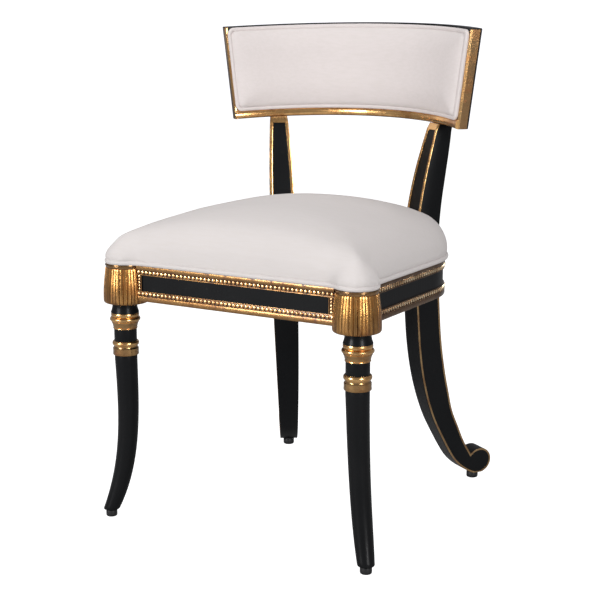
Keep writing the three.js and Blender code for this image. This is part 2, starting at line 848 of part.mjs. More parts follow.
function rearBraceOutline() {
  const corners = [[-rearBraceDepth, 1], [-rearBraceDepth, -1], [railThickness, -1], [railThickness, 1]];
  return corners.map(([reach, side]) => {
    const placed = onRearLeg(reach, side * rearBraceHalfLength, railTop);
    return new THREE.Vector2(placed.x, placed.y);
  });
}

function screwHole(at) {
  const tip = railTop + screwBite + 2 * fitGap;
  const bottom = braceBottom - cutOverrun;
  return upright(screwRadius + fitGap, bottom, tip - bottom, at.x, at.y, rodSides);
}

function screw(at) {
  const head = braceBottom - fitGap;
  const tip = railTop + fitGap + screwBite;
  return turned([
    [0, head - screwHeadHeight], [screwHeadRadius, head - screwHeadHeight], [screwHeadRadius, head],
    [screwRadius, head], [screwRadius, tip - screwRadius], [0, tip],
  ], rodSides, at.x, at.y);
}

addPair('front_brace', brace(frontBraceOutline(), [
  railCutter(frontPath, 1), drumCutters[0], screwHole(frontScrewAt),
]), beech);
addPair('rear_brace', brace(rearBraceOutline(), [
  railCutter(backPath, curveSteps), rearLegCutters[0], screwHole(rearScrewAt),
]), beech);
addPair('front_seat_screw', screw(frontScrewAt), steel);
addPair('rear_seat_screw', screw(rearScrewAt), steel);

// Seat board under the cushion and dust cover under the rails
const deckBottom = railTop + fitGap;
const screwHoles = [screwHole(frontScrewAt), screwHole(rearScrewAt)].flatMap(both);
add('seat_deck', cut(
  plate(seatPlan(-deckInset, 0), deckBottom, deckThickness), ...rearLegSoftCutters, ...screwHoles,
), plywood);

const dustCoverBottom = railUnderside - fitGap - dustCoverThickness;
add('dust_cover', cut(
  plate(seatPlan(-dustCoverInset, 0), dustCoverBottom, dustCoverThickness), ...drumCutters, ...rearLegCutters,
), cambric);

// Seat cushion

// Distance of a plan point inside a closed outline, or 0 outside it
function depthInside(point, outline) {
  let nearest = Infinity;
  let inside = false;
  outline.forEach((a, i) => {
    const edge = outline[(i + 1) % outline.length].clone().sub(a);
    const share = THREE.MathUtils.clamp(point.clone().sub(a).dot(edge) / edge.lengthSq(), 0, 1);
    nearest = Math.min(nearest, point.distanceTo(a.clone().addScaledVector(edge, share)));
    const crosses = (a.y > point.y) !== (a.y + edge.y > point.y);
    if (crosses && point.x < a.x + ((point.y - a.y) * edge.x) / edge.y) inside = !inside;
  });
  return inside ? nearest : 0;
}

const earedPlan = seatPlan(cushionGrow, cushionEarRadius);
const plainPlan = seatPlan(cushionGrow, 0);
const corePlan = seatPlan(-cushionCoreInset, 0);

function cushionDepth(point) {
  return (depthInside(point, earedPlan) + depthInside(point, plainPlan)) / 2;
}

// Rounded shoulder all round under a crown that falls away to every edge
function cushionTop(point) {
  const inset = 1 - Math.min(1, cushionDepth(point) / seatShoulder);
  const across = 1 - Math.abs(point.x / seatCrownHalfWidth) ** crownAcrossPower;
  const along = 1 - Math.abs((point.y - seatCentreY) / seatCrownHalfLength) ** crownAlongPower;
  const shoulder = (1 - inset ** shoulderPower) ** (1 / shoulderPower);
  return deckBottom + seatShoulderHeight * shoulder + seatCrown * across * along;
}

const weltHeight = deckBottom + seatWeltRadius;
const shelfTop = weltHeight + seatWeltRadius + weltClearance;

function cushionRimPoint(rim, core, share) {
  const flat = rim.clone().lerp(core, share);
  return new THREE.Vector3(flat.x, flat.y, Math.max(cushionTop(flat), shelfTop + softGap));
}

// The side between the welt and the shoulder, swollen a little halfway up
function cushionSideRing(up, swell) {
  return earedPlan.map((rim, i) => {
    const top = cushionRimPoint(rim, corePlan[i], cushionRimShares[0]);
    const outwards = rim.clone().sub(corePlan[i]).setLength(swell);
    const z = shelfTop + (top.z - shelfTop) * up;
    return new THREE.Vector3(top.x + outwards.x, top.y + outwards.y, z);
  });
}

function cushionCoreRing(share) {
  return corePlan.map((point) => {
    const flat = point.clone().lerp(new THREE.Vector2(0, seatCentreY), share);
    return new THREE.Vector3(flat.x, flat.y, cushionTop(flat));
  });
}

function cushion() {
  const inset = seatWeltRadius + weltClearance;
  const shelf = seatPlan(weltGrow - inset, weltEarRadius - inset);
  const body = ringStack([
    atHeight(shelf, deckBottom),
    atHeight(shelf, shelfTop),
    cushionSideRing(0, 0),
    cushionSideRing(0.5, seatBulge),
    ...cushionRimShares.map((share) => earedPlan.map((rim, i) => cushionRimPoint(rim, corePlan[i], share))),
    ...cushionCoreShares.map(cushionCoreRing),
  ]);
  const recess = plate(
    seatPlan(fitGap - deckInset, 0), deckBottom - cutOverrun, cutOverrun + deckThickness + fitGap,
  );
  return cut(body, recess, ...rearLegSoftCutters);
}

add('seat_cushion', cushion(), fabric);

// Welts round the foot of the cushion, ending against the stiles
function seatWelt() {
  const past = Math.PI / 2 - turn + railTongue / backRadius;
  const inStile = arc(0, backCentreY, backRadius + weltGrow, past, past, 1)[0];
  const right = [...seatHalf(weltGrow, weltEarRadius).slice(0, -backHalfSteps), inStile];
  const left = right.slice(1).reverse().map((p) => new THREE.Vector2(-p.x, p.y));
  const line = atHeight([...left, ...right], weltHeight);
  return cut(cord(line, seatWeltRadius, seatWeltSteps), ...rearLegSoftCutters);
}

function rearWelt() {
  const from = Math.PI / 2 - backSweep;
  const line = arc(0, backCentreY, backRadius + weltGrow, from, from + 2 * backSweep, rearWeltSteps);
  return cut(cord(atHeight(line, weltHeight), seatWeltRadius, rearWeltSteps), ...rearLegSoftCutters);
}

add('seat_welt', seatWelt(), fabric);
add('rear_welt', rearWelt(), fabric);

// Tablet board with rebated ends, and its mouldings
const endStripSweep = endStripWidth / tabletRadius;
const endFrom = tabletEnd - endStripSweep;
const stripEnd = endFrom - fitGap / tabletRadius;
const endStripUp = 1 - lipHeight / tabletHeight;

function tabletBoard() {
  const board = tabletSlice([-tabletEnd, tabletEnd], [0, boardThickness], [0, 1], boardSteps);
  const rebate = tabletSlice(
    [stripEnd, tabletEnd + endStripSweep],
    [lipHeight, 2 * boardThickness],
    [-cutOverrun / tabletHeight, endStripUp + fitGap / tabletHeight],
    1,
  );
  return cut(board, ...both(rebate), ...both(stileTenon(fitGap)));
}

// Upright moulding over the end of the board, bevelled along its front corner; the pad passes over its front
function endMoulding() {
  const bevel = endStripBevel / tabletRadius;
  const section = [
    [endFrom, lipHeight + fitGap], [tabletEnd, lipHeight + fitGap], [tabletEnd, boardThickness - endStripBevel],
    [tabletEnd - bevel, boardThickness], [endFrom, boardThickness],
  ];
  return ringStack([0, endStripUp].map((up) => section.map(([angle, depth]) => onTablet(angle, depth, up))));
}

add('tablet_board', tabletBoard(), black);
addPair('tablet_end_moulding', endMoulding(), gilt);
add('tablet_lower_moulding', tabletSlice(
  [-tabletEnd, tabletEnd],
  [boardThickness + fitGap, tabletDepth],
  [lipHeight / tabletHeight, (lipHeight + stripHeight) / tabletHeight],
  boardSteps,
), gilt);

// Back pad: a rounded panel on the tablet's front with a welt round its rim
const padHalfLength = tabletEnd * tabletRadius - backPadEndMargin;
const padLow = lipHeight + stripHeight + softGap;
const padHigh = tabletHeight - backPadTopMargin;
const padBack = boardThickness + fitGap;

// Right half of the pad's rim at an inset, from the bottom middle round to the top middle
function padHalf(inset, radius) {
  const side = padHalfLength - inset;
  const low = padLow + inset;
  const high = padHigh - inset;
  const lower = arc(side - radius, low + radius, radius, -Math.PI / 2, 0, padCornerSteps);
  const upper = arc(side - radius, high - radius, radius, 0, Math.PI / 2, padCornerSteps);
  const topMiddle = new THREE.Vector2(0, high);
  return [
    ...spaced(new THREE.Vector2(0, low), lower[0], padLongSteps),
    ...lower,
    ...spaced(lower[lower.length - 1], upper[0], padShortSteps).slice(1),
    ...upper,
    ...spaced(upper[upper.length - 1], topMiddle, padLongSteps).slice(1),
    topMiddle,
  ];
}

function onPad(point, depth) {
  return onTablet(point.x / tabletRadius, depth, point.y / tabletHeight);
}

function backPad() {
  const rim = withLeftHalf(padHalf(2 * backWeltRadius + weltClearance, backPadCorner));
  const middle = new THREE.Vector2(0, (padLow + padHigh) / 2);
  const domed = backPadRimShares.map((share) => rim.map((point) => {
    const inner = point.clone().lerp(middle, share);
    const inset = 1 - Math.min(1, depthInside(inner, rim) / backPadShoulder);
    return onPad(inner, padBack + backPadEdge + backPadCrown * Math.sqrt(1 - inset ** 2));
  }));
  const hidden = backPadHiddenShares.map((share) => (
    rim.map((point) => onPad(point.clone().lerp(middle, share), padBack))
  ));
  return ringStack([...hidden, rim.map((point) => onPad(point, padBack + backPadEdge)), ...domed]);
}

// The welt starts and ends at a butt joint in the middle of the lower edge
function backWelt() {
  const rim = withLeftHalf(padHalf(backWeltRadius, backWeltCorner));
  const butt = new THREE.Vector2(weltButtGap / 2, rim[0].y);
  const line = [butt, ...rim.slice(1), new THREE.Vector2(-butt.x, butt.y)];
  return cord(line.map((point) => onPad(point, padBack + backWeltRadius)), backWeltRadius, backWeltSteps);
}

add('back_pad', backPad(), fabric);
add('back_welt', backWelt(), fabric);

// Origin on the floor under the middle of the whole chair
const middle = new THREE.Box3().setFromObject(chair).getCenter(new THREE.Vector3());
for (const mesh of chair.children) mesh.position.set(-middle.x, -middle.y, 0);

export default chair;
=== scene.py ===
from math import acos, asin, atan2, copysign, cos, exp, pi, radians, sin, sqrt, tan

import bpy
from mathutils import Matrix, Vector
from mathutils.bvhtree import BVHTree


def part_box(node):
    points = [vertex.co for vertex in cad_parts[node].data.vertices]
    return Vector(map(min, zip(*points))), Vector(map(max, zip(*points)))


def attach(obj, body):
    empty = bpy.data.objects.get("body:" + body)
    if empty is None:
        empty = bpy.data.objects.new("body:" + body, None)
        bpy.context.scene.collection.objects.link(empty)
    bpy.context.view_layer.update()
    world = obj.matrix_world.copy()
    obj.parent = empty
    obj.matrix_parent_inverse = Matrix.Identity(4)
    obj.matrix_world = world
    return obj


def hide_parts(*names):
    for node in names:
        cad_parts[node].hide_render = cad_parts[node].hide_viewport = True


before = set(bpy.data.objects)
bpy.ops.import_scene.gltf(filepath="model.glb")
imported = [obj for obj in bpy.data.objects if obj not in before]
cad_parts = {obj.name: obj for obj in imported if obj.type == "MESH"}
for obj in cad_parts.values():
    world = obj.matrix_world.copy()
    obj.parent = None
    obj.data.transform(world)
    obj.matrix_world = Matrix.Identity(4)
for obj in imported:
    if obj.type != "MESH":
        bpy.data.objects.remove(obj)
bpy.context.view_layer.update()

# Front legs: beech turned on a lathe and lacquered black, each with two gilded rings. A neck runs up
# into the corner drum, and under the rings the shank splays out and forward to its glide.
leg_half_span = 0.2315
drum_setback = 0.0015
front_y = sum((corner.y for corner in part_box("corner_drum_right")), 0.0) / 2 - drum_setback
neck_top = 0.3945
neck_radius = 0.0215
ring_one_top = 0.375
ring_two_top = 0.324
shank_radius = 0.0198
knee_height = 0.29
foot_height = 0.0133
splay_out = 0.032
splay_forward = 0.0225
splay_out_power = 3.06
splay_forward_power = 4.25
leg_bow = 0.0045
shank_taper = 0.0032
ankle_taper = 0.0022


def deselect():
    bpy.ops.object.select_all(action="DESELECT")


def mode(kind):
    bpy.ops.object.mode_set(mode=kind)


def activated(piece):
    """The piece, made the active and only selected one."""
    deselect()
    piece.select_set(True)
    bpy.context.view_layer.objects.active = piece
    return piece


def added(name, data):
    piece = bpy.data.objects.new(name, data)
    bpy.context.collection.objects.link(piece)
    return activated(piece)


def meshed(name, points, faces):
    mesh = bpy.data.meshes.new(name)
    mesh.from_pydata(points, [], faces)
    return added(name, mesh)


def copied(piece, name):
    """A copy of a piece with its own mesh."""
    copy = piece.copy()
    copy.data = piece.data.copy()
    copy.name = copy.data.name = name
    bpy.context.collection.objects.link(copy)
    return copy


def face_out():
    """Turns all faces of the active piece outwards and leaves edit mode."""
    mode("EDIT")
    bpy.ops.mesh.select_all(action="SELECT")
    bpy.ops.mesh.normals_make_consistent(inside=False)
    mode("OBJECT")


def settled(name, sharp_degrees=35):
    """Names the active piece, puts its place into its mesh and shades it smooth up to an angle."""
    piece = bpy.context.active_object
    piece.name = piece.data.name = name
    bpy.ops.object.transform_apply(location=True, rotation=True, scale=True)
    bpy.ops.object.shade_smooth_by_angle(angle=radians(sharp_degrees))
    return piece


def select_faces(piece, wanted):
    """Leaves edit mode on a piece with just the faces selected that wanted says yes to."""
    mode("EDIT")
    bpy.ops.mesh.select_mode(type="FACE")
    bpy.ops.mesh.select_all(action="DESELECT")
    mode("OBJECT")
    for face in piece.data.polygons:
        face.select = wanted(face)
    mode("EDIT")


def turned(name, outline, sides=64, carved=lambda i: 1.0):
    """Turns a closed piece from an outline of (centre x, centre y, height, radius), end to end.
    Each point round it can be carved in to a share of the radius."""
    deselect()
    x, y, z, radius = outline[0]
    bpy.ops.mesh.primitive_circle_add(vertices=sides, radius=radius, fill_type="NGON", location=(x, y, z))
    for i, vertex in enumerate(bpy.context.active_object.data.vertices):
        vertex.co.xy *= carved(i)
    mode("EDIT")
    for (x0, y0, z0, r0), (x1, y1, z1, r1) in zip(outline, outline[1:]):
        bpy.ops.mesh.extrude_region_move(
            TRANSFORM_OT_translate={"value": (x1 - x0, y1 - y0, z1 - z0)})
        bpy.ops.transform.resize(value=(r1 / r0, r1 / r0, 1), center_override=(x1, y1, z1))
    face_out()
    return settled(name)


class Value:
    """A number that varies over a surface. Arithmetic on it adds Math nodes."""

    def __init__(self, finish, socket):
        self.finish = finish
        self.socket = socket

    def combined(self, operation, *others):
        operands = dict(enumerate((self, *others)))
        return self.finish.node("ShaderNodeMath", {"operation": operation}, operands)

    def __add__(self, other):
        return self.combined("ADD", other)

    def __sub__(self, other):
        return self.combined("SUBTRACT", other)

    def __rsub__(self, other):
        return self.finish.node("ShaderNodeMath", {"operation": "SUBTRACT"}, {0: other, 1: self})

    def __mul__(self, other):
        return self.combined("MULTIPLY", other)

    def __truediv__(self, other):
        return self.combined("DIVIDE", other)

    def clamped(self, low=0.0, high=1.0):
        return self.combined("MAXIMUM", low).combined("MINIMUM", high)

    def stepped(self, start, end):
        """0 below start, 1 above end, and smooth between them."""
        settings = {"interpolation_type": "SMOOTHSTEP"}
        return self.finish.node("ShaderNodeMapRange", settings, {"Value": self, "From Min": start, "From Max": end})

    __radd__ = __add__
    __rmul__ = __mul__


class Finish:
    """A surface finish on the principled shader, and the slot that it fills."""

    def __init__(self, name, slot="", **constants):
        self.slot = slot
        self.material = bpy.data.materials.new(name)
        self.material.use_nodes = True
        self.tree = self.material.node_tree
        self.shader = self.tree.nodes["Principled BSDF"]
        self.place = self.node("ShaderNodeTexCoord", output="Object")
        self.finished(**constants)

    def socket(self, name):
        return next(s for s in self.shader.inputs if s.name.lower() == name.replace("_", " "))

    def node(self, kind, settings=None, values=None, output=0):
        """Adds a node: its settings first, then its sockets' values or links."""
        node = self.tree.nodes.new(kind)
        for name, setting in (settings or {}).items():
            setattr(node, name, setting)
        for key, value in (values or {}).items():
            self.feed(node.inputs[key], value)
        return Value(self, node.outputs[output])

    def feed(self, socket, value):
        if isinstance(value, Value):
            self.tree.links.new(value.socket, socket)
        else:
            socket.default_value = (*value, 1) if socket.type == "RGBA" else value

    def noise(self, scale, detail=3.0, roughness=0.55, stretch=(1, 1, 1)):
        """Cloudy variation of about 1 / scale metres, stretched along the axes where asked."""
        place = self.node("ShaderNodeMapping", {"vector_type": "POINT"}, {"Vector": self.place, "Scale": stretch})
        return self.node("ShaderNodeTexNoise", values={
            "Vector": place, "Scale": scale, "Detail": detail, "Roughness": roughness})

    def axis(self, letter):
        return self.node("ShaderNodeSeparateXYZ", values={0: self.place}, output=letter)

    def mixed(self, share, first, second):
        """A colour between two others."""
        node = self.tree.nodes.new("ShaderNodeMix")
        node.data_type = "RGBA"
        self.feed(node.inputs["Factor"], share)
        self.feed(node.inputs[6], first)
        self.feed(node.inputs[7], second)
        return Value(self, node.outputs[2])

    def relief(self, height, depth):
        """Raises the surface by up to depth metres where height is 1."""
        bump = self.node("ShaderNodeBump", values={"Height": height, "Distance": depth, "Strength": 1.0})
        self.feed(self.shader.inputs["Normal"], bump)

    def finished(self, **sockets):
        for name, value in sockets.items():
            self.feed(self.socket(name), value)
        return self


def black_lacquer():
    """Satin black over close-grained wood, with the faint unevenness of a brushed coat."""
    finish = Finish("black_lacquer", "ebonised_wood", specular_ior_level=0.16)
    cloud = finish.noise(14, detail=4)
    grain = finish.noise(260, stretch=(1, 1, 0.06))
    scuffs = finish.noise(90, detail=6, roughness=0.7).stepped(0.62, 0.72)
    shade = finish.mixed(cloud, (0.005, 0.0054, 0.0062), (0.009, 0.0094, 0.0102))
    finish.relief(grain * 0.6 + cloud * 0.4, 0.00025)
    return finish.finished(
        base_color=finish.mixed(scuffs * 0.3, shade, (0.02, 0.019, 0.0185)),
        roughness=cloud * 0.1 + scuffs * 0.12 + 0.25,
    )


def gold_leaf(name, leaf, clay, worn=0.6, shade_and_dirt=lambda finish: 0.0, satin=0.14):
    """Leaf over reddish clay: the clay shows where the leaf is rubbed, and old brown glaze dulls it in clouds. A
    further
    dark brown is laid where the caller asks: painted shade on some parts, grime on others. A coat of shellac shines
    over it all."""
    finish = Finish(name, "gold_leaf", coat_weight=0.7, coat_roughness=0.2)
    patches = finish.noise(60, detail=5, roughness=0.6)
    flecks = finish.noise(380, detail=3, roughness=0.6)
    rubbed = (patches * 0.7 + flecks * 0.3).stepped(worn - 0.03, worn + 0.1)
    glaze = finish.noise(30, detail=5, roughness=0.62).stepped(0.38, 0.66)
    gold = finish.mixed(glaze, leaf, tuple(c * share for c, share in zip(leaf, (0.6, 0.5, 0.42))))
    # Darker brown where the caller asks, as painted shade on some parts and grime on others.
    gold = finish.mixed(shade_and_dirt(finish), gold, (0.085, 0.032, 0.01))
    finish.relief(flecks * 0.5 + patches * 0.5, 0.0003)
    return finish.finished(
        base_color=finish.mixed(rubbed, gold, clay),
        metallic=1.0 - rubbed * 0.5,
        roughness=glaze * 0.12 + rubbed * 0.2 + flecks * 0.08 + satin,
    )


black = black_lacquer()
gold = gold_leaf("gold_leaf", (0.95, 0.57, 0.22), (0.3, 0.115, 0.04))


def dress(piece, finish, *nodes):
    """Gives a piece its finish, fixes it to the chair and hides the solids that it stands for."""
    for face in piece.data.polygons:
        face.material_index = 0
    piece.data.materials.clear()
    piece.data.materials.append(finish.material)
    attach(piece, "root")
    if nodes:
        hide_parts(*nodes)


def dress_pair(piece, finish, *nodes):
    """Dresses a right piece and its left copy, mirrored in the chair's middle plane."""
    dress(piece, finish, *nodes)
    left = copied(piece, piece.name.replace("right", "left"))
    left.data.transform(Matrix.Scale(-1, 4, (1, 0, 0)))
    left.data.flip_normals()
    dress(left, finish, *[node.replace("right", "left") for node in nodes])


def leg_axis(z):
    """The bent middle line of a front leg in plan, at a height."""
    t = max(0.0, (knee_height - z) / knee_height)
    x = leg_half_span + splay_out * t ** splay_out_power
    return x, front_y + leg_bow * sin(pi * t) - splay_forward * t ** splay_forward_power


def on_leg(levels):
    return [(*leg_axis(z), z, radius) for z, radius in levels]


def below(top, depths):
    return on_leg([(top - depth, radius) for depth, radius in depths])


def roll(top, bottom, radius, proud, steps=6):
    """Levels along a half-round moulding that stands out from a radius."""
    turns = [pi * i / steps for i in range(steps + 1)]
    return [(top + (bottom - top) * (1 - cos(t)) / 2, radius + proud * sin(t)) for t in turns]


def shank_at(t):
    z = knee_height + (foot_height - knee_height) * t
    return z, shank_radius - shank_taper * t ** 0.8 - ankle_taper * t ** 8


leg_levels = [
    (neck_top, 0.0212), (0.3925, neck_radius), (0.3865, 0.0216), (0.3835, 0.022), (0.3805, 0.0227), (0.378, 0.0235),
    (0.376, 0.0243), (0.375, 0.0246), (0.3744, 0.0242), (0.374, 0.0205), (0.3465, 0.0197), (0.3455, shank_radius),
    (0.3245, shank_radius), (0.3235, 0.0195), (0.2998, 0.0195), (0.2985, shank_radius),
    *[shank_at(i / 40) for i in range(40)],
    (foot_height + 0.0012, 0.0145), (foot_height + 0.0003, 0.0139), (foot_height, 0.0128),
]
ring_one_depths = [
    (0.0004, 0.02), (0.0004, 0.0228), *roll(0.0006, 0.0076, 0.0229, 0.0016), (0.008, 0.0227),
    *roll(0.0083, 0.0158, 0.0233, 0.0033, 8), (0.0162, 0.0232), (0.0168, 0.0237), (0.0178, 0.0237), (0.0195, 0.0228),
    (0.022, 0.0219), (0.025, 0.0212), (0.0272, 0.0209), *roll(0.0274, 0.0292, 0.0205, 0.0009, 4), (0.0292, 0.019),
]
ring_two_depths = [
    (0, 0.0196), (0, 0.0208), *roll(0.0002, 0.0082, 0.0209, 0.0025, 8), (0.0088, 0.0206), (0.0112, 0.0209),
    (0.0128, 0.0222), (0.0134, 0.0226), (0.0185, 0.0224), (0.0235, 0.0227), (0.0247, 0.0224), (0.025, 0.0219),
    (0.025, 0.0194),
]


def on_the_bands(finish):
    """Darker brown on the plain band under each ring's roll."""
    upper = ring_one_top - finish.axis("Z")
    lower = ring_two_top - finish.axis("Z")
    upper_band = upper.stepped(0.0162, 0.0176) * (1.0 - upper.stepped(0.026, 0.027))
    return (upper_band + lower.stepped(0.0084, 0.0098) * (1.0 - lower.stepped(0.03, 0.031))) * 0.5


ring_gold = gold_leaf("gold_on_the_rings", (0.98, 0.59, 0.23), (0.3, 0.115, 0.04), 0.6, on_the_bands)
dress_pair(turned("front_leg_black_right", on_leg(leg_levels)), black, "front_leg_right")
dress_pair(turned("leg_ring_upper_right", below(ring_one_top, ring_one_depths)), ring_gold)
dress_pair(turned("leg_ring_lower_right", below(ring_two_top, ring_two_depths)), ring_gold)

# Glides: black nylon discs with a domed shoulder, each nailed up into the end of a foot. The rear ones
# are a little wider, under the flat cut in the scrolls.
glide_height = 0.013


def hazy(name, scale, rough, varied, depth, slot="", shades=None, **constants):
    """A plain finish with a fine unevenness, between two close shades where they are given."""
    finish = Finish(name, slot, **constants)
    haze = finish.noise(scale, detail=2)
    finish.relief(haze, depth)
    if shades:
        finish.finished(base_color=finish.mixed(haze, *shades))
    return finish.finished(roughness=haze * varied + rough)


nylon_look = {"base_color": (0.012, 0.012, 0.013), "specular_ior_level": 0.5}
nylon = hazy("black_nylon", 900, 0.38, 0.15, 0.00005, "black_nylon", **nylon_look)


def glide(name, node):
    """A glide over its solid: same middle, same width."""
    low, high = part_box(node)
    x, y, radius = (low.x + high.x) / 2, (low.y + high.y) / 2, (high.x - low.x) / 2
    shares = [
        (0, 0.6), (0, 0.84), (0.05, 0.93), (0.16, 0.99), (0.3, 1), (0.78, 1), (0.84, 0.97), (0.88, 0.86), (1, 0.85),
    ]
    disc = turned(name, [(x, y, glide_height * up, radius * out) for up, out in shares], 48)
    dress(disc, nylon, node)


for end in ("front", "rear"):
    for side in ("right", "left"):
        glide(f"{end}_foot_glide_{side}", f"{end}_glide_{side}")

# Corner drums: carved and gilded blocks over the front legs. Thirty-six reeds widen towards a scalloped
# foot, under a plain collar with a fine bead at its top.
drum_x = leg_half_span - 0.003
drum_y = front_y + drum_setback
drum_radius = 0.0397
drum_foot = 0.393
rail_top = 0.462
collar_height = 0.007
reed_count = 36
reed_depth = 0.0012
reed_shares = [0, 0.84, 0.97, 1, 1, 1, 0.97, 0.84]


def reed(i):
    """Flat crests with narrow valleys between them."""
    return 1 - reed_depth / drum_radius * (1 - reed_shares[i % len(reed_shares)])


def drum(name):
    """A block that bulges near its foot and draws in towards the collar."""
    shares = [
        (0.0, 0.6), (0.0, 0.925), (0.012, 0.96), (0.035, 0.987), (0.07, 0.999), (0.13, 1.0), (0.25, 0.998),
        (0.38, 0.99), (0.5, 0.977), (0.62, 0.959), (0.74, 0.935), (0.86, 0.912), (0.95, 0.898), (0.985, 0.89),
        (1.0, 0.88), (1.0, 0.6),
    ]
    height = rail_top - collar_height - drum_foot
    outline = [(drum_x, drum_y, drum_foot + height * up, drum_radius * out) for up, out in shares]
    return turned(name, outline, reed_count * len(reed_shares), reed)


def collar(name):
    low = rail_top - collar_height
    levels = [
        (low - 0.0002, 0.03), (low - 0.0002, 0.0338), (low + 0.0006, 0.0341), (low + 0.0034, 0.0345),
        *roll(low + 0.0036, low + 0.0056, 0.0346, 0.0012, 6),
        (low + 0.0058, 0.0346), (rail_top, 0.0344), (rail_top, 0.03),
    ]
    return turned(name, [(drum_x, drum_y, z, radius) for z, radius in levels], 96)


def in_the_valleys(finish):
    """Painted shade between the reeds and towards their foot, below the highlight on their upper part, with streaks of
    brown grime.
    """
    across = finish.axis("X").combined("ABSOLUTE") - drum_x
    angle = (finish.axis("Y") - drum_y).combined("ARCTAN2", across)
    valley = 1.0 - (angle * (reed_count / 2)).combined("SINE").combined("ABSOLUTE").stepped(0.0, 0.34)
    low = 1.0 - finish.axis("Z").stepped(drum_foot + 0.01, drum_foot + 0.052)
    streaks = finish.noise(150, detail=3, stretch=(1, 1, 0.12)).stepped(0.4, 0.62)
    return (valley * 0.6 + low * 0.25 + low * streaks * 0.25 + streaks * 0.12).clamped()


drum_gold = gold_leaf("gold_on_the_reeds", (0.84, 0.43, 0.12), (0.32, 0.11, 0.03), 0.62, in_the_valleys, 0.2)
# The collar's gold is the leaf painted dark brown as shade under the welt.
collar_shade_gold = gold_leaf("gold_shaded_brown", (0.44, 0.25, 0.095), (0.16, 0.06, 0.02), 0.55)
dress_pair(drum("reeded_drum_right"), drum_gold, "corner_drum_right")
dress_pair(collar("drum_collar_right"), collar_shade_gold)

# Rear legs: stile, sabre leg and scroll foot sawn from one plank and lacquered black, dowelled to the
# rails and tenoned into the tablet. Gilt borders stand on the stiles' front, gilt lines on the legs' outer side.
rear_anchor = Vector((0.1246, front_y + 0.3846, 0.0))
rear_turn = radians(33.2)
rear_lean = tan(radians(1.815))
rear_reach = 0.182
rear_height = 0.686
rear_front_shares = [
    (0.231, 1.02), (0.209, 1), (0.146, 0.94), (0.085, 0.875), (0.033, 0.802), (0, 0.729), (-0.009, 0.663),
    (-0.004, 0.58), (0.02, 0.5), (0.052, 0.415), (0.096, 0.3426), (0.154, 0.28), (0.2225, 0.226),
    (0.302, 0.178), (0.4615, 0.102), (0.563, 0.0633), (0.687, 0.035), (0.797, 0.0197), (0.84, 0.0182),
]
rear_back_shares = [
    (0.3785, 1.02), (0.368, 1), (0.342, 0.9475), (0.2995, 0.875), (0.26, 0.802), (0.239, 0.729),
    (0.2407, 0.6706), (0.2533, 0.612), (0.2665, 0.554), (0.285, 0.4956), (0.3066, 0.437), (0.341, 0.379),
    (0.386, 0.3207), (0.434, 0.27), (0.489, 0.2157), (0.5687, 0.1687), (0.651, 0.1217), (0.7527, 0.0773),
]
scroll_centre = Vector((0.868 * rear_reach, 0.0547 * rear_height))
scroll_radius = 0.0246
scroll_joint = 0.885
leg_steps = 56
scroll_steps = 32
plank_top = 0.0475
stile_taper = 0.0134
stile_taper_from = 0.5
leg_taper = 0.0131
leg_taper_from = 0.3
stile_border = 0.006
border_share = 0.1
wood_gap = 0.0003
cap_foot = rear_height - 0.0074
stile_front_from = 0.47
line_width = 0.0034
line_top = 0.432
tablet_corner_y = rear_anchor.y - 0.0141
tablet_arch = 0.0088
tablet_half_bottom = 0.2465
tablet_flare = 0.0228
tablet_end = radians(47)
outwards = Vector((cos(rear_turn), -sin(rear_turn), 0))
forwards = Vector((-sin(rear_turn), -cos(rear_turn), 0))


def along(points, share):
    """A point of the smooth curve through a list of points."""
    place = share * (len(points) - 1)
    i = min(int(place), len(points) - 2)
    u = place - i
    a, b, c, d = (Vector(points[min(max(i + k, 0), len(points) - 1)]) for k in (-1, 0, 1, 2))
    return 0.5 * (2 * b + (c - a) * u + (2 * a - 5 * b + 4 * c - d) * u ** 2 + (3 * b - a - 3 * c + d) * u ** 3)


def share_at(points, height):
    """Where the falling curve through the points passes a height."""
    low, high = 0.0, 1.0
    for _ in range(30):
        middle = (low + high) / 2
        low, high = (middle, high) if along(points, middle).y > height else (low, middle)
    return low


def rear_width(z):
    rise = max(0.0, (z - stile_taper_from) / (rear_height - stile_taper_from))
    fall = max(0.0, (leg_taper_from - z) / leg_taper_from)
    return plank_top - stile_taper * rise ** 1.9 - leg_taper * fall ** 1.15


def on_rear_leg(reach, across, z):
    """A point of the right rear leg: reach backwards, across it and up."""
    return rear_anchor - reach * forwards + (across + z * rear_lean) * outwards + Vector((0, 0, z))


def across_leg(point):
    return (point - rear_anchor).dot(outwards) - point.z * rear_lean


def tablet_edge(point):
    """Height of the tablet's lower edge over a plan point."""
    centre_y = tablet_corner_y - tablet_half_bottom / tan(tablet_end)
    angle = atan2(point.x, point.y - centre_y)
    return rear_height + tablet_arch * (cos(angle) - cos(tablet_end)) / (1 - cos(tablet_end))


def rear_edge(shares):
    return [(reach * rear_reach, up * rear_height) for reach, up in shares]


def rows(edge, end):
    """Points down one edge of the leg: its top, the cap's lower edge, then even steps."""
    under_cap = share_at(edge, cap_foot)
    steps = [under_cap + (end - under_cap) * i / leg_steps for i in range(leg_steps + 1)]
    return [along(edge, share) for share in (0.0, *steps)]


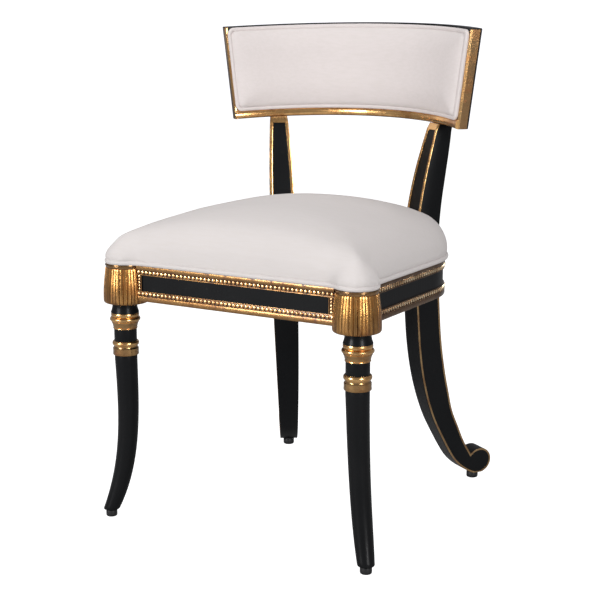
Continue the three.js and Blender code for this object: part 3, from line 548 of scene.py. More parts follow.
def rear_side_view():
    """The side view as points and faces: a ladder of quads down to the cusp, then a fan over the scroll."""
    front_edge = rear_edge(rear_front_shares)
    front, back = rows(front_edge, scroll_joint), rows(rear_edge(rear_back_shares), 1.0)
    points = [point for pair in zip(front, back) for point in pair]
    faces = [(i, i + 2, i + 3, i + 1) for i in range(0, len(points) - 2, 2)]
    cusp = len(points) - 1
    rim = [cusp - 1]
    toe = [along(front_edge, scroll_joint + (1 - scroll_joint) * i / 8) for i in range(1, 9)]
    start, end = toe[-1] - scroll_centre, points[cusp] - scroll_centre
    first, last = atan2(start.y, start.x), atan2(end.y, end.x)
    for i in range(1, scroll_steps):
        share = i / scroll_steps
        angle = first + (last - first) * share
        ease_in, ease_out = max(0, 1 - 5 * share) ** 2, max(0, 5 * share - 4) ** 2
        radius = scroll_radius + (start.length - scroll_radius) * ease_in + (end.length - scroll_radius) * ease_out
        toe.append(scroll_centre + radius * Vector((cos(angle), sin(angle))))
    rim += range(cusp + 1, cusp + 1 + len(toe))
    rim.append(cusp)
    points += [*toe, scroll_centre]
    hub = len(points) - 1
    faces += [(a, b, hub) for a, b in zip(rim, rim[1:] + rim[:1])]
    return points, faces


def rear_leg_body(name):
    """The side view with its lines marked out, drawn to the plank's thickness and set in place."""
    points, faces = rear_side_view()
    body = meshed(name, [(p.x, 0.5, p.y) for p in points], faces)
    mesh = body.data
    select_faces(body, lambda face: face.center.z < line_top)
    bpy.ops.mesh.inset(thickness=line_width, use_select_inset=True)
    mode("OBJECT")
    top = max(face.center.z for face in mesh.polygons if face.select)
    for face in mesh.polygons:
        face.material_index = int(face.select and face.center.z < top - 0.0005)
    mode("EDIT")
    bpy.ops.mesh.select_all(action="SELECT")
    for step in (-border_share, 2 * border_share - 1, -border_share):
        bpy.ops.mesh.extrude_region_move(TRANSFORM_OT_translate={"value": (0, step, 0)})
    mode("OBJECT")
    for vertex in mesh.vertices:
        reach, side, z = vertex.co
        half = rear_width(z) / 2 - stile_border * (0.5 - abs(side)) / border_share
        vertex.co = on_rear_leg(reach, copysign(half, side), max(z, foot_height))
        vertex.co.z = min(vertex.co.z, tablet_edge(vertex.co) - wood_gap)
    face_out()
    return body


def plate_on(body, name, wanted, proud, edge):
    """A thin plate with eased edges over the chosen faces of a body."""
    plate = activated(copied(body, name))
    select_faces(plate, lambda face: not wanted(face))
    bpy.ops.mesh.delete(type="FACE")
    bpy.ops.mesh.select_all(action="SELECT")
    bpy.ops.mesh.extrude_region_shrink_fatten(TRANSFORM_OT_shrink_fatten={"value": proud})
    face_out()
    return eased(plate, name, edge)


def modified(piece, kind, **settings):
    """Puts a piece through a modifier."""
    modifier = activated(piece).modifiers.new(kind, kind)
    for setting, value in settings.items():
        setattr(modifier, setting, value)
    bpy.ops.object.modifier_apply(modifier=kind)


def eased(piece, name, edge, segments=2, angle=40):
    """Rounds a piece's sharp edges and settles it."""
    limit = {"limit_method": "ANGLE", "angle_limit": radians(angle)}
    modified(piece, "BEVEL", width=edge, segments=segments, **limit)
    return settled(name)


def is_line(face):
    return face.material_index == 1 and face.normal.dot(outwards) > 0.9


def is_border(face):
    on_front = face.normal.dot(forwards) > 0.5 and face.center.z > stile_front_from
    return on_front and abs(across_leg(face.center)) > rear_width(face.center.z) / 2 - stile_border


def is_cap(face):
    return face.normal.dot(forwards) > 0.5 and face.center.z > cap_foot


rear_body = rear_leg_body("rear_leg_black_right")
gilding = [
    plate_on(rear_body, "rear_leg_lines_right", is_line, 0.0004, 0.0001),
    plate_on(rear_body, "stile_borders_right", is_border, 0.0018, 0.0007),
    plate_on(rear_body, "stile_cap_right", is_cap, 0.0022, 0.0007),
]
dress_pair(eased(rear_body, "rear_leg_black_right", 0.0007), black, "rear_leg_right")
line_gold = gold_leaf("gold_lines", (0.55, 0.35, 0.16), (0.24, 0.12, 0.06), 0.55)
for plate in gilding:
    dress_pair(plate, line_gold if plate.name == "rear_leg_lines_right" else gold)

# Seat rails: black bars that run straight at the front and the sides and bend round the back corners and
# the back. The front one stays as its solid. All are dowelled into the drums and the rear legs.
rail_foot = 0.4
rail_face = 0.238
rail_thickness = 0.026
side_straight = 0.265
ring_front_y = front_y - 0.01
ring_side_end = front_y + side_straight
ring_corner_radius = 0.15
ring_corner_sweep = pi / 2 - rear_turn
ring_corner_x = rail_face - ring_corner_radius
back_radius = ring_corner_radius + ring_corner_x / sin(rear_turn)
back_centre_y = ring_side_end - (back_radius - ring_corner_radius) * cos(rear_turn)
side_start = 0.044
side_end = side_straight + ring_corner_radius * ring_corner_sweep + 0.01
back_half = back_radius * (rear_turn - plank_top / 2 / back_radius) + 0.006


def drawn(name, outline, step, steps, place=Vector):
    """Draws a closed outline of points through equal steps, then bends the bar by a placing rule."""
    deselect()
    bpy.ops.mesh.primitive_circle_add(vertices=len(outline), fill_type="NGON")
    bar = bpy.context.active_object
    for vertex, point in zip(bar.data.vertices, outline):
        vertex.co = point
    mode("EDIT")
    bpy.ops.mesh.select_all(action="SELECT")
    for _ in range(steps):
        bpy.ops.mesh.extrude_region_move(TRANSFORM_OT_translate={"value": step})
    mode("OBJECT")
    return bent(bar, name, place)


def bent(bar, name, place):
    """Moves each point of the active piece by a placing rule and settles it."""
    for vertex in bar.data.vertices:
        vertex.co = place(vertex.co)
    face_out()
    return settled(name)


def along_front(point):
    """Distance right of the middle, distance out from the rail and height, at the front."""
    return Vector((point.x, ring_front_y - point.y, point.z))


def along_side(point):
    """The same back along the right side from the drum's middle and round the corner."""
    if point.x < side_straight:
        return Vector((rail_face + point.y, front_y + point.x, point.z))
    angle = (point.x - side_straight) / ring_corner_radius
    radius = ring_corner_radius + point.y
    return Vector((ring_corner_x + radius * cos(angle), ring_side_end + radius * sin(angle), point.z))


def along_back(point):
    angle = point.x / back_radius
    radius = back_radius + point.y
    return Vector((radius * sin(angle), back_centre_y + radius * cos(angle), point.z))


def run(name, section, start, end, steps, place):
    """A bar with a section of (out, height) points, from one distance along a rail to another."""
    outline = [(start, out, z) for out, z in section]
    return drawn(name, outline, ((end - start) / steps, 0, 0), steps, place)


rail_section = [
    (-rail_thickness, rail_foot), (-0.0008, rail_foot), (0, rail_foot + 0.0008),
    (0, rail_top - 0.0008), (-0.0008, rail_top), (-rail_thickness, rail_top),
]
side_rail = run("side_rail_black_right", rail_section, side_start, side_end, 48, along_side)
dress_pair(side_rail, black, "side_rail_right")
back_rail = run("back_rail_black", rail_section, -back_half, back_half, 40, along_back)
dress(back_rail, black, "back_rail")

# Rail mouldings: gilt strips pinned along the top and the foot of each rail. Each has a plain fillet, a row
# of turned beads at 8.1 mm in a channel painted dark as shade, and a fine line against the black field.
bead_pitch = 0.0081
bead_radius = 0.0035
bead_out = 0.0018
fillet_out = 0.0034
line_out = 0.0026
channel_out = 0.0012
front_half = 0.1948
field_half = 0.1848
moulding_levels = {
    "upper": ((0.4549, rail_top), 0.4509, (0.4457, 0.447)),
    "lower": ((rail_foot, 0.4093), 0.4133, (0.417, 0.4181)),
}
# The beads are the leaf painted paler, and the side beads palest, as painted highlight on their crests.
bead_gold = gold_leaf("gold_on_the_beads", (1.0, 0.68, 0.34), (0.4, 0.2, 0.08), 0.68, satin=0.16)
# The front fillets are the leaf painted darker, and the side and back fillets darker still, as painted shade.
fillet_gold = gold_leaf("gold_on_the_fillets", (0.42, 0.225, 0.075), (0.16, 0.06, 0.02), 0.54, satin=0.2)
side_gold = gold_leaf("gold_on_the_sides", (0.24, 0.125, 0.045), (0.09, 0.034, 0.013), 0.54, satin=0.2)
pearl_gold = gold_leaf("gold_on_the_side_beads", (1.0, 0.82, 0.56), (0.45, 0.25, 0.11), 0.72, satin=0.19)
# The channels are the leaf painted darkest, as shade in the recess behind the beads.
channel_gold = gold_leaf("gold_in_the_channels", (0.14, 0.065, 0.022), (0.04, 0.015, 0.007), 0.5)


def fillet(low, high, out, ease=0.0009):
    """A strip's section with eased front corners."""
    return [
        (-0.0005, low), (out - ease, low), (out - ease * 0.3, low + ease * 0.3), (out, low + ease),
        (out, high - ease), (out - ease * 0.3, high - ease * 0.3), (out - ease, high), (-0.0005, high),
    ]


def beads(name, points, radius, place, length=0.82):
    """Equal low beads at points of (along, out, height), made as one piece."""
    shape = {"segments": 8, "ring_count": 6, "radius": radius, "scale": (length, 0.62, 1.0)}
    deselect()
    bpy.ops.mesh.primitive_uv_sphere_add(location=points[0], **shape)
    row = bpy.context.active_object
    bpy.ops.object.transform_apply(location=True)
    mode("EDIT")
    for point in points[1:]:
        bpy.ops.mesh.primitive_uv_sphere_add(location=point, **shape)
    mode("OBJECT")
    return bent(row, name, place)


def joined(pieces, name):
    deselect()
    for piece in pieces:
        piece.select_set(True)
    bpy.context.view_layer.objects.active = pieces[0]
    bpy.ops.object.join()
    return settled(name)


def moulding(name, node, end, steps, place, leaf, pearls, start=None, length=0.82):
    """A row of beads with its fillet and its line, and the channel behind it, painted dark as shade."""
    fillet_levels, bead_z, line_levels = moulding_levels[name.split("_")[-1]]
    start = -end if start is None else start
    count = round((end - start) / bead_pitch)
    pitch = (end - start) / count
    low, high = min(line_levels[0], fillet_levels[0]), max(line_levels[1], fillet_levels[1])
    strips = joined([
        run(name + "_strips", fillet(*fillet_levels, fillet_out), start, end, steps, place),
        run(name + "_line", fillet(*line_levels, line_out, 0.0003), start, end, steps, place),
    ], name + "_strips")
    row = [(start + pitch * (i + 0.5), bead_out, bead_z) for i in range(count)]
    channel = fillet(low + 0.0005, high - 0.0005, channel_out)
    for piece, finish, nodes in (
        (strips, leaf, [node]),
        (beads(name + "_beads", row, bead_radius, place, length), pearls, []),
        (run(name + "_channel", channel, start, end, steps, place), channel_gold, []),
    ):
        (dress_pair if "right" in name else dress)(piece, finish, *nodes)


for level in ("upper", "lower"):
    moulding(f"front_{level}", f"front_{level}_moulding", front_half, 8, along_front, fillet_gold, bead_gold)
    moulding(
        f"side_right_{level}", f"side_{level}_moulding_right", side_end - 0.004, 48, along_side, side_gold,
        pearl_gold, side_start, 0.56)
    moulding(f"back_{level}", f"back_{level}_moulding", back_half - 0.004, 40, along_back, side_gold, bead_gold)

# End beads: short upright rows of five that close the front rail's black field beside each drum, with a fine
# line towards the field. They are pinned on like the long rows.
column_foot = 0.4186
column_height = 0.0273
end_bead_count = 5
end_bead_radius = 0.0028
end_line_width = 0.0012


def upright(name, start, end, out):
    """A flat upright strip on the front rail."""
    corners = [(start, -0.0005), (start, out), (end, out), (end, -0.0005)]
    return drawn(name, [(x, y, column_foot) for x, y in corners], (0, 0, column_height), 1, along_front)


column_places = [
    (field_half + 0.0046, bead_out, column_foot + column_height / end_bead_count * (i + 0.5))
    for i in range(end_bead_count)
]
column = beads("end_column_right", column_places, end_bead_radius, along_front)
dress_pair(column, bead_gold, "front_end_beads_right")
dress_pair(upright("end_line_right", field_half, field_half + end_line_width, line_out), fillet_gold)
# The strip behind the end beads has the channels' painted shade.
dress_pair(upright("end_beads_right_channel", field_half, front_half, channel_out), channel_gold)

# Hidden joinery, kept as the solids: the front rail, beech dowels, beech corner braces with steel screws up
# into the plywood seat board, and a black cambric cover stapled under the rails.


def bare_wood(name, pale, dark, scale):
    finish = Finish(name)
    grain = finish.noise(scale, detail=5, stretch=(0.12, 1, 1))
    pores = finish.noise(scale * 9, detail=2, stretch=(0.05, 1, 1))
    finish.relief(grain * 0.5 + pores * 0.5, 0.0002)
    return finish.finished(
        base_color=finish.mixed(grain.stepped(0.35, 0.65), pale, dark),
        roughness=pores * 0.2 + 0.5,
    )


def plated_steel():
    finish = Finish("zinc_plated_steel", metallic=1.0)
    haze = finish.noise(300, detail=3)
    shade = finish.mixed(haze, (0.5, 0.5, 0.51), (0.66, 0.66, 0.65))
    return finish.finished(base_color=shade, roughness=haze * 0.2 + 0.28)


beech = bare_wood("bare_beech", (0.55, 0.36, 0.2), (0.42, 0.25, 0.12), 30)
plywood = bare_wood("birch_plywood", (0.6, 0.44, 0.27), (0.48, 0.32, 0.17), 18)
cambric_shades = ((0.01, 0.01, 0.011), (0.024, 0.024, 0.026))
cambric = hazy("black_cambric", 1200, 0.85, 0.1, 0.0002, shades=cambric_shades)
steel = plated_steel()
hidden_finishes = {
    "dowel": beech, "front_brace": beech, "rear_brace": beech, "front_seat_screw": steel, "rear_seat_screw": steel,
    "seat_deck": plywood, "dust_cover": cambric, "front_rail": black,
}
for node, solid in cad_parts.items():
    for start, finish in hidden_finishes.items():
        if node.startswith(start):
            solid.data.materials.clear()
            solid.data.materials.append(finish.material)

# Seat cushion: foam and wadding on the seat board under a taut cream cover. Its front corners swell out over
# the drums as ears, its crown is highest a little back of the middle, and it is cut round the stiles.
cushion_foot = 0.4623
cushion_grow = 0.008
cushion_ear_radius = 0.0385
ear_blend = 0.007
plain_corner_radius = 0.016
shoulder_depth = 0.051
shoulder_height = 0.0515
shoulder_power = 2.4
crown_height = 0.0496
crown_half = 0.25
crown_y = front_y + 0.201
stile_half_width = 0.023
stile_half_depth = 0.021
stile_hollow = 0.009
core_inset = -0.06
welt_radius = 0.0042
welt_grow = 0.0053
welt_ear_radius = 0.0328
shelf_top = cushion_foot + 2 * welt_radius - 0.0025
voxel = 0.005
cloth_frames = 20
averaging_rounds = 14


def arc(x, y, radius, start, end, steps):
    turns = [start + (end - start) * i / steps for i in range(steps + 1)]
    return [Vector((x + radius * cos(t), y + radius * sin(t))) for t in turns]


def spaced(start, end, steps):
    return [start.lerp(end, i / steps) for i in range(steps)]


def seat_plan(grow, ear_radius=None):
    """The seat's outline at a distance out from the rails, anticlockwise from the front's middle."""
    front, side = ring_front_y - grow, rail_face + grow
    if ear_radius:
        x, y, radius, trim = drum_x, drum_y, ear_radius, ear_blend / ear_radius
        start, end = asin((y - front) / radius) - pi, acos((side - x) / radius)
    else:
        x, y, radius, trim = side - plain_corner_radius, front + plain_corner_radius, plain_corner_radius, 0
        start, end = -pi / 2, 0
    corner = [
        Vector((x + radius * cos(start) - ear_blend, front)), *arc(x, y, radius, start + trim, end - trim, 24),
        Vector((side, y + radius * sin(end) + ear_blend)),
    ]
    bend = arc(ring_corner_x, ring_side_end, ring_corner_radius + grow, 0, ring_corner_sweep, 16)
    back = arc(0, back_centre_y, back_radius + grow, ring_corner_sweep, pi / 2, 18)
    right = [
        *spaced(Vector((0, front)), corner[0], 20), *corner, *spaced(corner[-1], bend[0], 20)[1:], *bend, *back[1:],
    ]
    return right + [Vector((-p.x, p.y)) for p in reversed(right[1:-1])]


def belt(count, first=0):
    """Quads between one closed ring of points, from a first index, and the next ring."""
    return [(first + i, first + j, first + count + j, first + count + i) for i, j in zip(
        range(count), [*range(1, count), 0])]


def wall(outline):
    """A search tree over an upright wall on a closed outline, faced outwards."""
    corners = [(p.x, p.y, z) for z in (-1, 1) for p in outline]
    return BVHTree.FromPolygons(corners, belt(len(outline)))


def depth_inside(point, tree):
    spot = Vector((point.x, point.y, 0))
    nearest, normal, _, distance = tree.find_nearest(spot)
    return distance if (spot - nearest).dot(normal) < 0 else 0.0


eared_plan = seat_plan(cushion_grow, cushion_ear_radius)
core_plan = seat_plan(core_inset)
eared_wall = wall(eared_plan)
plain_wall = wall(seat_plan(cushion_grow))
stile_middle = on_rear_leg(0.15 * rear_reach, 0, 0.54).to_2d()


def beside_stile(point):
    """1 at a stile's faces, fading within a few millimetres of them."""
    offset = Vector((abs(point.x), point.y)) - stile_middle
    side = max(0, abs(offset.dot(outwards.to_2d())) - stile_half_width)
    fore = max(0, abs(offset.dot(forwards.to_2d())) - stile_half_depth)
    return exp(-(side ** 2 + fore ** 2) / stile_hollow ** 2)


def cushion_top(point):
    """A rounded shoulder all round under a crown that falls away to every edge."""
    depth = (depth_inside(point, eared_wall) + depth_inside(point, plain_wall)) / 2
    inset = 1 - min(1, depth / shoulder_depth)
    across = 1 - abs(point.x / crown_half) ** 2.17
    forth = 1 - abs((point.y - crown_y) / crown_half) ** 3.36
    shoulder = shoulder_height * (1 - inset ** shoulder_power) ** (1 / shoulder_power)
    return cushion_foot + shoulder + crown_height * across * forth - stile_hollow * beside_stile(point)


def at_height(plan, z):
    return [(p.x, p.y, z) for p in plan]


def lofted(name, rings):
    """A closed body through rings of equal count, with a fan over the first and the last."""
    count = len(rings[0])
    points = [point for ring in rings for point in ring]
    faces = [face for r in range(len(rings) - 1) for face in belt(count, r * count)]
    faces += [tuple(range(count)), tuple(range(len(points) - count, len(points)))]
    return bent(meshed(name, points, faces), name, Vector)


def over(outer, inner, share):
    """A ring on the cushion's top, a share of the way from one outline to another."""
    flats = [start.lerp(end, share) for start, end in zip(outer, inner)]
    return [(flat.x, flat.y, max(cushion_top(flat), shelf_top + 0.0006)) for flat in flats]


def stuffed(body, held, swell, pressure, voxel_size):
    """Evens the mesh out, lets a cover swell over it under pressure and subdivides it once. Points only lift
    outwards, by swell at most, together with their neighbours, and not at all where held says 1."""
    modified(body, "REMESH", mode="VOXEL", voxel_size=voxel_size, use_smooth_shade=True)
    modified(body, "SMOOTH", factor=0.5, iterations=6)
    before = [(vertex.co.copy(), vertex.normal.copy()) for vertex in body.data.vertices]
    pins = body.vertex_groups.new(name="held")
    for vertex in body.data.vertices:
        pins.add([vertex.index], held(vertex.co), "REPLACE")
    cloth = body.modifiers.new("cover", "CLOTH")
    for setting, value in (
        ("quality", 4), ("tension_stiffness", 25), ("compression_stiffness", 25), ("bending_stiffness", 8),
        ("use_pressure", True), ("uniform_pressure_force", pressure), ("vertex_group_mass", "held"),
    ):
        setattr(cloth.settings, setting, value)
    cloth.settings.effector_weights.gravity = 0
    cloth.point_cache.frame_end = cloth_frames
    for step in range(cloth_frames):
        bpy.context.scene.frame_set(step + 1)
    bpy.ops.object.modifier_apply(modifier="cover")
    bpy.context.scene.frame_set(1)
    lifts = [
        max(0.0, min(swell, (vertex.co - start).dot(normal)))
        for vertex, (start, normal) in zip(body.data.vertices, before)
    ]
    pairs = [tuple(edge.vertices) for edge in body.data.edges]
    for _ in range(averaging_rounds):
        totals, counts = list(lifts), [1] * len(lifts)
        for pair in pairs:
            for point, neighbour in (pair, reversed(pair)):
                totals[point] += lifts[neighbour]
                counts[point] += 1
        lifts = [total / count for total, count in zip(totals, counts)]
    for vertex, (start, normal), lift in zip(body.data.vertices, before, lifts):
        vertex.co = start + normal * lift
    modified(body, "SUBSURF", levels=1, render_levels=1)


def cream_cover(name, shade_dark, shade_light):
    """A smooth close weave with faint slubs and a soft bloom."""
    finish = Finish(name, "cream_fabric", specular_ior_level=0.3, sheen_weight=0.15, sheen_roughness=0.5)
    weave = finish.noise(1500, detail=2)
    slubs = finish.noise(240, detail=3, stretch=(0.15, 1, 1))
    tone = finish.noise(9, detail=3)
    finish.relief(weave * 0.6 + slubs * 0.4, 0.00025)
    shade = finish.mixed(tone, shade_dark, shade_light)
    return finish.finished(
        base_color=finish.mixed(slubs.stepped(0.3, 0.75) * 0.25, shade, (0.64, 0.59, 0.55)),
        roughness=weave * 0.08 + 0.86,
    )


cream = cream_cover("cream_cover", (0.66, 0.62, 0.605), (0.715, 0.67, 0.655))
shelf_plan = seat_plan(welt_grow - welt_radius - 0.001, welt_ear_radius - welt_radius - 0.001)
side_rings = [over(eared_plan, core_plan, 0.03)]
for up, out in ((0.5, 0.0015), (0.0, 0.0)):
    ring = []
    for (x, y, z), core in zip(side_rings[0], core_plan):
        push = (Vector((x, y)) - core).normalized() * out
        ring.append((x + push.x, y + push.y, shelf_top + (z - shelf_top) * up))
    side_rings.append(ring)
inner_shares = [0.05, 0.075, 0.105, 0.14, 0.18, 0.23, 0.29, 0.36, 0.44, 0.53, 0.63, 0.74, 0.86, 1.0]
core_shares = [0.12, 0.25, 0.38, 0.5, 0.62, 0.74, 0.86, 0.97]
middle = [Vector((0, crown_y))] * len(core_plan)
cushion = lofted("seat_cushion_cream", [
    at_height(shelf_plan, cushion_foot), at_height(shelf_plan, shelf_top), *reversed(side_rings),
    *[over(eared_plan, core_plan, share) for share in inner_shares],
    *[over(core_plan, middle, share) for share in core_shares],
])
stuffed(
    cushion, lambda co: 1.0 if co.z < shelf_top + 0.008 else min(1.0, beside_stile(co) * 1.5),
    swell=0.0025, pressure=4.0, voxel_size=voxel)
settled("seat_cushion_cream", 180)
dress(cushion, cream, "seat_cushion")

# Seat welts: cords of 8.4 mm in the same cloth, sewn round the foot of the cushion. One runs round the front
# and both sides and ends in the stiles, one crosses the back between them.
welt_z = cushion_foot + welt_radius


def cord(name, points, radius, closed=False):
    """A round cord along a line of points, with domed ends where it is open."""
    line = bpy.data.curves.new(name, "CURVE")
    line.dimensions = "3D"
    line.bevel_depth = radius
    line.bevel_resolution = 3
    line.use_fill_caps = True
    spline = line.splines.new("POLY")
    spline.points.add(len(points) - 1)
    for knot, point in zip(spline.points, points):
        knot.co = (*point, 1)
    spline.use_cyclic_u = closed
    added(name, line)
    bpy.ops.object.convert(target="MESH")
    return bent(bpy.context.active_object, name, Vector)


def smoothed(points, rounds):
    """Rounds the kinks of an open line of points."""
    for _ in range(rounds):
        inner = [(a + 2 * b + c) / 4 for a, b, c in zip(points, points[1:], points[2:])]
        points = [points[0], *inner, points[-1]]
    return points


welt_plan = seat_plan(welt_grow, welt_ear_radius)
around = [p for p in welt_plan if p.y - back_centre_y < (back_radius - 0.01) * sin(ring_corner_sweep)]
right_side = [p for p in around if p.x >= 0]
left_side = [p for p in around if p.x < 0]
tail = arc(0, back_centre_y, back_radius + welt_grow, ring_corner_sweep + 0.04, 0, 1)[0]
front_line = [Vector((-tail.x, tail.y)), *left_side, *right_side, tail]
dress(cord("seat_welt_cream", at_height(smoothed(front_line, 3), welt_z), welt_radius), cream, "seat_welt")
back_line = [along_back(Vector((-back_half + 2 * back_half * i / 40, welt_grow, welt_z))) for i in range(41)]
dress(cord("rear_welt_cream", back_line, welt_radius), cream, "rear_welt")

# Back tablet: a black board curved round the sitter as a slice of a cone, higher in the middle. Gilt strips
# lie over its two ends, behind the pad, and along its foot above a thin black lip.
tablet_height = 0.174
mean_radius = (tablet_half_bottom + tablet_flare / 2) / sin(tablet_end)
board_thickness = 0.019
board_half = mean_radius * tablet_end
lip_height = 0.0025
strip_height = 0.011
end_strip_width = 0.005
top_ease = 0.0012
corner_cut = 0.0022
bevel_width = 0.0026
end_proud = 0.0014


def on_tablet(point):
    """Distance right of the middle, depth forward of the back face and height above the lower edge."""
    angle = point.x / mean_radius
    up = point.z / tablet_height
    radius = (tablet_half_bottom + tablet_flare * up) / sin(tablet_end)
    rise = (cos(angle) - cos(tablet_end)) / (1 - cos(tablet_end))
    return Vector((
        (radius - point.y) * sin(angle),
        tablet_corner_y + (radius - point.y) * cos(angle) - radius * cos(tablet_end),
        rear_height + tablet_height * up + tablet_arch * rise,
    ))


board_section = [
    (0.0008, 0), (board_thickness, 0), (board_thickness, tablet_height - top_ease),
    (board_thickness - top_ease, tablet_height), (top_ease, tablet_height), (0, tablet_height - top_ease), (0, 0.0008),
]
inner_half = board_half - end_strip_width - wood_gap


def on_board(point):
    """On the tablet, with the board's front corners cut back behind the gilt bevels."""
    limit = board_half - (corner_cut if point.y > board_thickness / 2 else 0.0)
    return on_tablet(Vector((max(-limit, min(limit, point.x)), point.y, point.z)))


board = run("tablet_board_black", board_section, -board_half, board_half, 72, on_board)
dress(board, black, "tablet_board")

strip_low = 0.0009
strip_high = 0.0165
lower_section = [(board_thickness - 0.001, strip_low), (board_thickness + 0.0018, strip_low)] + [
    (board_thickness + 0.0038 + 0.0021 * sin(pi * i / 10) ** 0.7, strip_low + 0.0004 + 0.0126 * i / 10)
    for i in range(11)
] + [(board_thickness + 0.0022, strip_high), (board_thickness - 0.001, strip_high)]
lower_strip = run("tablet_lower_gilding", lower_section, -board_half - 0.0003, board_half + 0.0003, 72, on_tablet)
dress(lower_strip, gold, "tablet_lower_moulding")

end_back = 0.0024
end_outer = board_half + 0.0006
end_top = tablet_height - 0.0016
end_section = [
    (inner_half, end_back), (inner_half, board_thickness + end_proud),
    (end_outer - bevel_width, board_thickness + end_proud), (end_outer, board_thickness - 0.002), (end_outer, end_back),
]


def behind_the_corner(finish):
    """Painted shade over the end's flat face, which turns from the lamps; the bevel by the pad is left bright."""
    up = (finish.axis("Z") - rear_height) / tablet_height
    radius = (up * tablet_flare + tablet_half_bottom) / sin(tablet_end)
    across = finish.axis("X")
    ahead = finish.axis("Y") - tablet_corner_y + radius * cos(tablet_end)
    depth = radius - (across * across + ahead * ahead).combined("SQRT")
    return (1.0 - depth.stepped(board_thickness - 0.0032, board_thickness - 0.002)) * 0.72


end_gold = gold_leaf("gold_on_the_ends", (0.95, 0.58, 0.24), (0.3, 0.11, 0.035), 0.6, behind_the_corner)
end_strip = drawn("end_gilding", [(x, y, -0.0002) for x, y in end_section], (0, 0, (end_top + 0.0002) / 8), 8)
end_strip = bent(eased(end_strip, "tablet_end_gilding_right", 0.0009, 2, 60), "tablet_end_gilding_right", on_tablet)
dress_pair(end_strip, end_gold, "tablet_end_moulding_right")

# Back pad: foam under the same cream cloth on the tablet's front, softly domed, with a welt of 8 mm round its
# rim. Both are shaped flat and then bent round with the board.
pad_back = board_thickness + wood_gap
back_welt_radius = 0.004
pad_half_length = board_half - 0.0029
pad_low = lip_height + strip_height + 0.0006
pad_high = tablet_height - 0.0025
pad_edge = 0.004
pad_crown = 0.016
pad_shoulder = 0.046
pad_spine_inset = 0.08


def pad_outline(inset, radius, spacing=0.006):
    """A rectangle with round corners in (along, height), anticlockwise from the foot's middle."""
    side, low, high = pad_half_length - inset, pad_low + inset, pad_high - inset
    lower = arc(side - radius, low + radius, radius, -pi / 2, 0, 8)
    upper = arc(side - radius, high - radius, radius, 0, pi / 2, 8)
    long = round(side / spacing)
    short = round((high - low) / spacing)
    right = [
        *spaced(Vector((0, low)), lower[0], long), *lower, *spaced(lower[-1], upper[0], short)[1:],
        *upper, *spaced(upper[-1], Vector((0, high)), long)[1:], Vector((0, high)),
    ]
    return right + [Vector((-p.x, p.y)) for p in reversed(right[1:-1])]


pad_rim = pad_outline(2 * back_welt_radius - 0.0032, 0.0105)
pad_wall = wall(pad_rim)
spine_half = pad_half_length - pad_spine_inset
pad_spine = [Vector((max(-spine_half, min(spine_half, p.x)), (pad_low + pad_high) / 2)) for p in pad_rim]


def pad_ring(share):
    ring = []
    for flat in [rim.lerp(spine, share) for rim, spine in zip(pad_rim, pad_spine)]:
        inset = 1 - min(1, depth_inside(flat, pad_wall) / pad_shoulder)
        ring.append((flat.x, pad_back + pad_edge + pad_crown * sqrt(max(0.0, 1 - inset ** 2)), flat.y))
    return ring


# The back pad's cloth is the seat's, painted a little lighter and pinker as painted light.
pad_cream = cream_cover("cream_cover_on_the_back", (0.72, 0.66, 0.645), (0.78, 0.715, 0.70))
pad = lofted("back_pad_cream", [
    *[[(p.x * share, pad_back, p.y * share + 0.09 * (1 - share)) for p in pad_rim] for share in (0.6, 1)],
    *[pad_ring(share) for share in (0, 0.02, 0.05, 0.09, 0.14, 0.2, 0.27, 0.35, 0.44, 0.54, 0.65, 0.77, 0.9)],
])
stuffed(pad, lambda co: 1.0 if co.y < pad_back + 0.005 else 0.0, swell=0.0015, pressure=4.0, voxel_size=0.004)
pad = bent(pad, "back_pad_cream", on_tablet)
settled("back_pad_cream", 180)
dress(pad, pad_cream, "back_pad")

back_welt_line = [
    on_tablet(Vector((p.x, pad_back + back_welt_radius, p.y))) for p in pad_outline(back_welt_radius, 0.009)]
dress(cord("back_welt_cream", back_welt_line, back_welt_radius, closed=True), pad_cream, "back_welt")

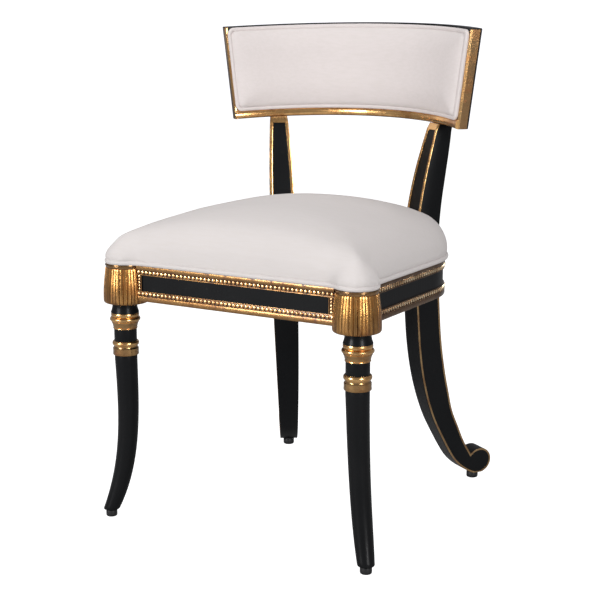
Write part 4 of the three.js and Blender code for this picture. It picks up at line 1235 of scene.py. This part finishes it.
# Studio: a plain pale floor under a pale sky, with two soft boxes in front and one overhead. The camera sees
# the floor evenly white; what it throws back on the chair is softer. Seen from the chair's right front.
def paper():
    finish = Finish("white_paper", roughness=0.9, emission_strength=1.0)
    seen = finish.node("ShaderNodeLightPath", output="Is Camera Ray")
    return finish.finished(
        base_color=(0.45, 0.45, 0.45), emission_color=finish.mixed(seen, (0, 0, 0), (1, 1, 1)))


def soft_box(name, place, width, height, power, aim=(0, 0, 0.45)):
    lamp = bpy.data.lights.new(name, "AREA")
    lamp.shape = "RECTANGLE"
    lamp.size = width
    lamp.size_y = height
    lamp.energy = power
    box = added(name, lamp)
    box.location = place
    box.rotation_euler = (Vector(aim) - Vector(place)).to_track_quat("-Z", "Y").to_euler()


deselect()
bpy.ops.mesh.primitive_plane_add(size=16, location=(0, 0, 0))
floor = bpy.context.active_object
floor.name = "pale_floor"
floor.data.materials.append(paper().material)

soft_box("soft_box_left", (-1.25, -3.0, 1.35), 0.8, 1.7, 66)
soft_box("soft_box_right", (2.6, -1.5, 1.3), 0.6, 1.5, 40)
soft_box("soft_box_top", (0.0, 0.5, 3.2), 2.2, 2.2, 27)

room = bpy.context.scene.world or bpy.data.worlds.new("room")
bpy.context.scene.world = room
room.use_nodes = True
sky = room.node_tree.nodes["Background"]
sky.inputs["Color"].default_value = (0.5, 0.5, 0.52, 1)
seen = room.node_tree.nodes.new("ShaderNodeLightPath")
glow = room.node_tree.nodes.new("ShaderNodeMath")
glow.operation = "MULTIPLY_ADD"
glow.inputs[1].default_value = 1.8
glow.inputs[2].default_value = 0.5
room.node_tree.links.new(seen.outputs["Is Camera Ray"], glow.inputs[0])
room.node_tree.links.new(glow.outputs[0], sky.inputs["Strength"])
bpy.context.scene.view_settings.view_transform = "Standard"

view_direction = Vector((-0.502, 0.8409, -0.202))
lens = bpy.data.cameras.new("front_right")
lens.sensor_width = 36
lens.lens = 83.74
camera = added("front_right", lens)
camera.location = (1.2536, -2.1453, 0.8872)
camera.rotation_euler = view_direction.to_track_quat("-Z", "Y").to_euler()
bpy.context.scene.camera = camera
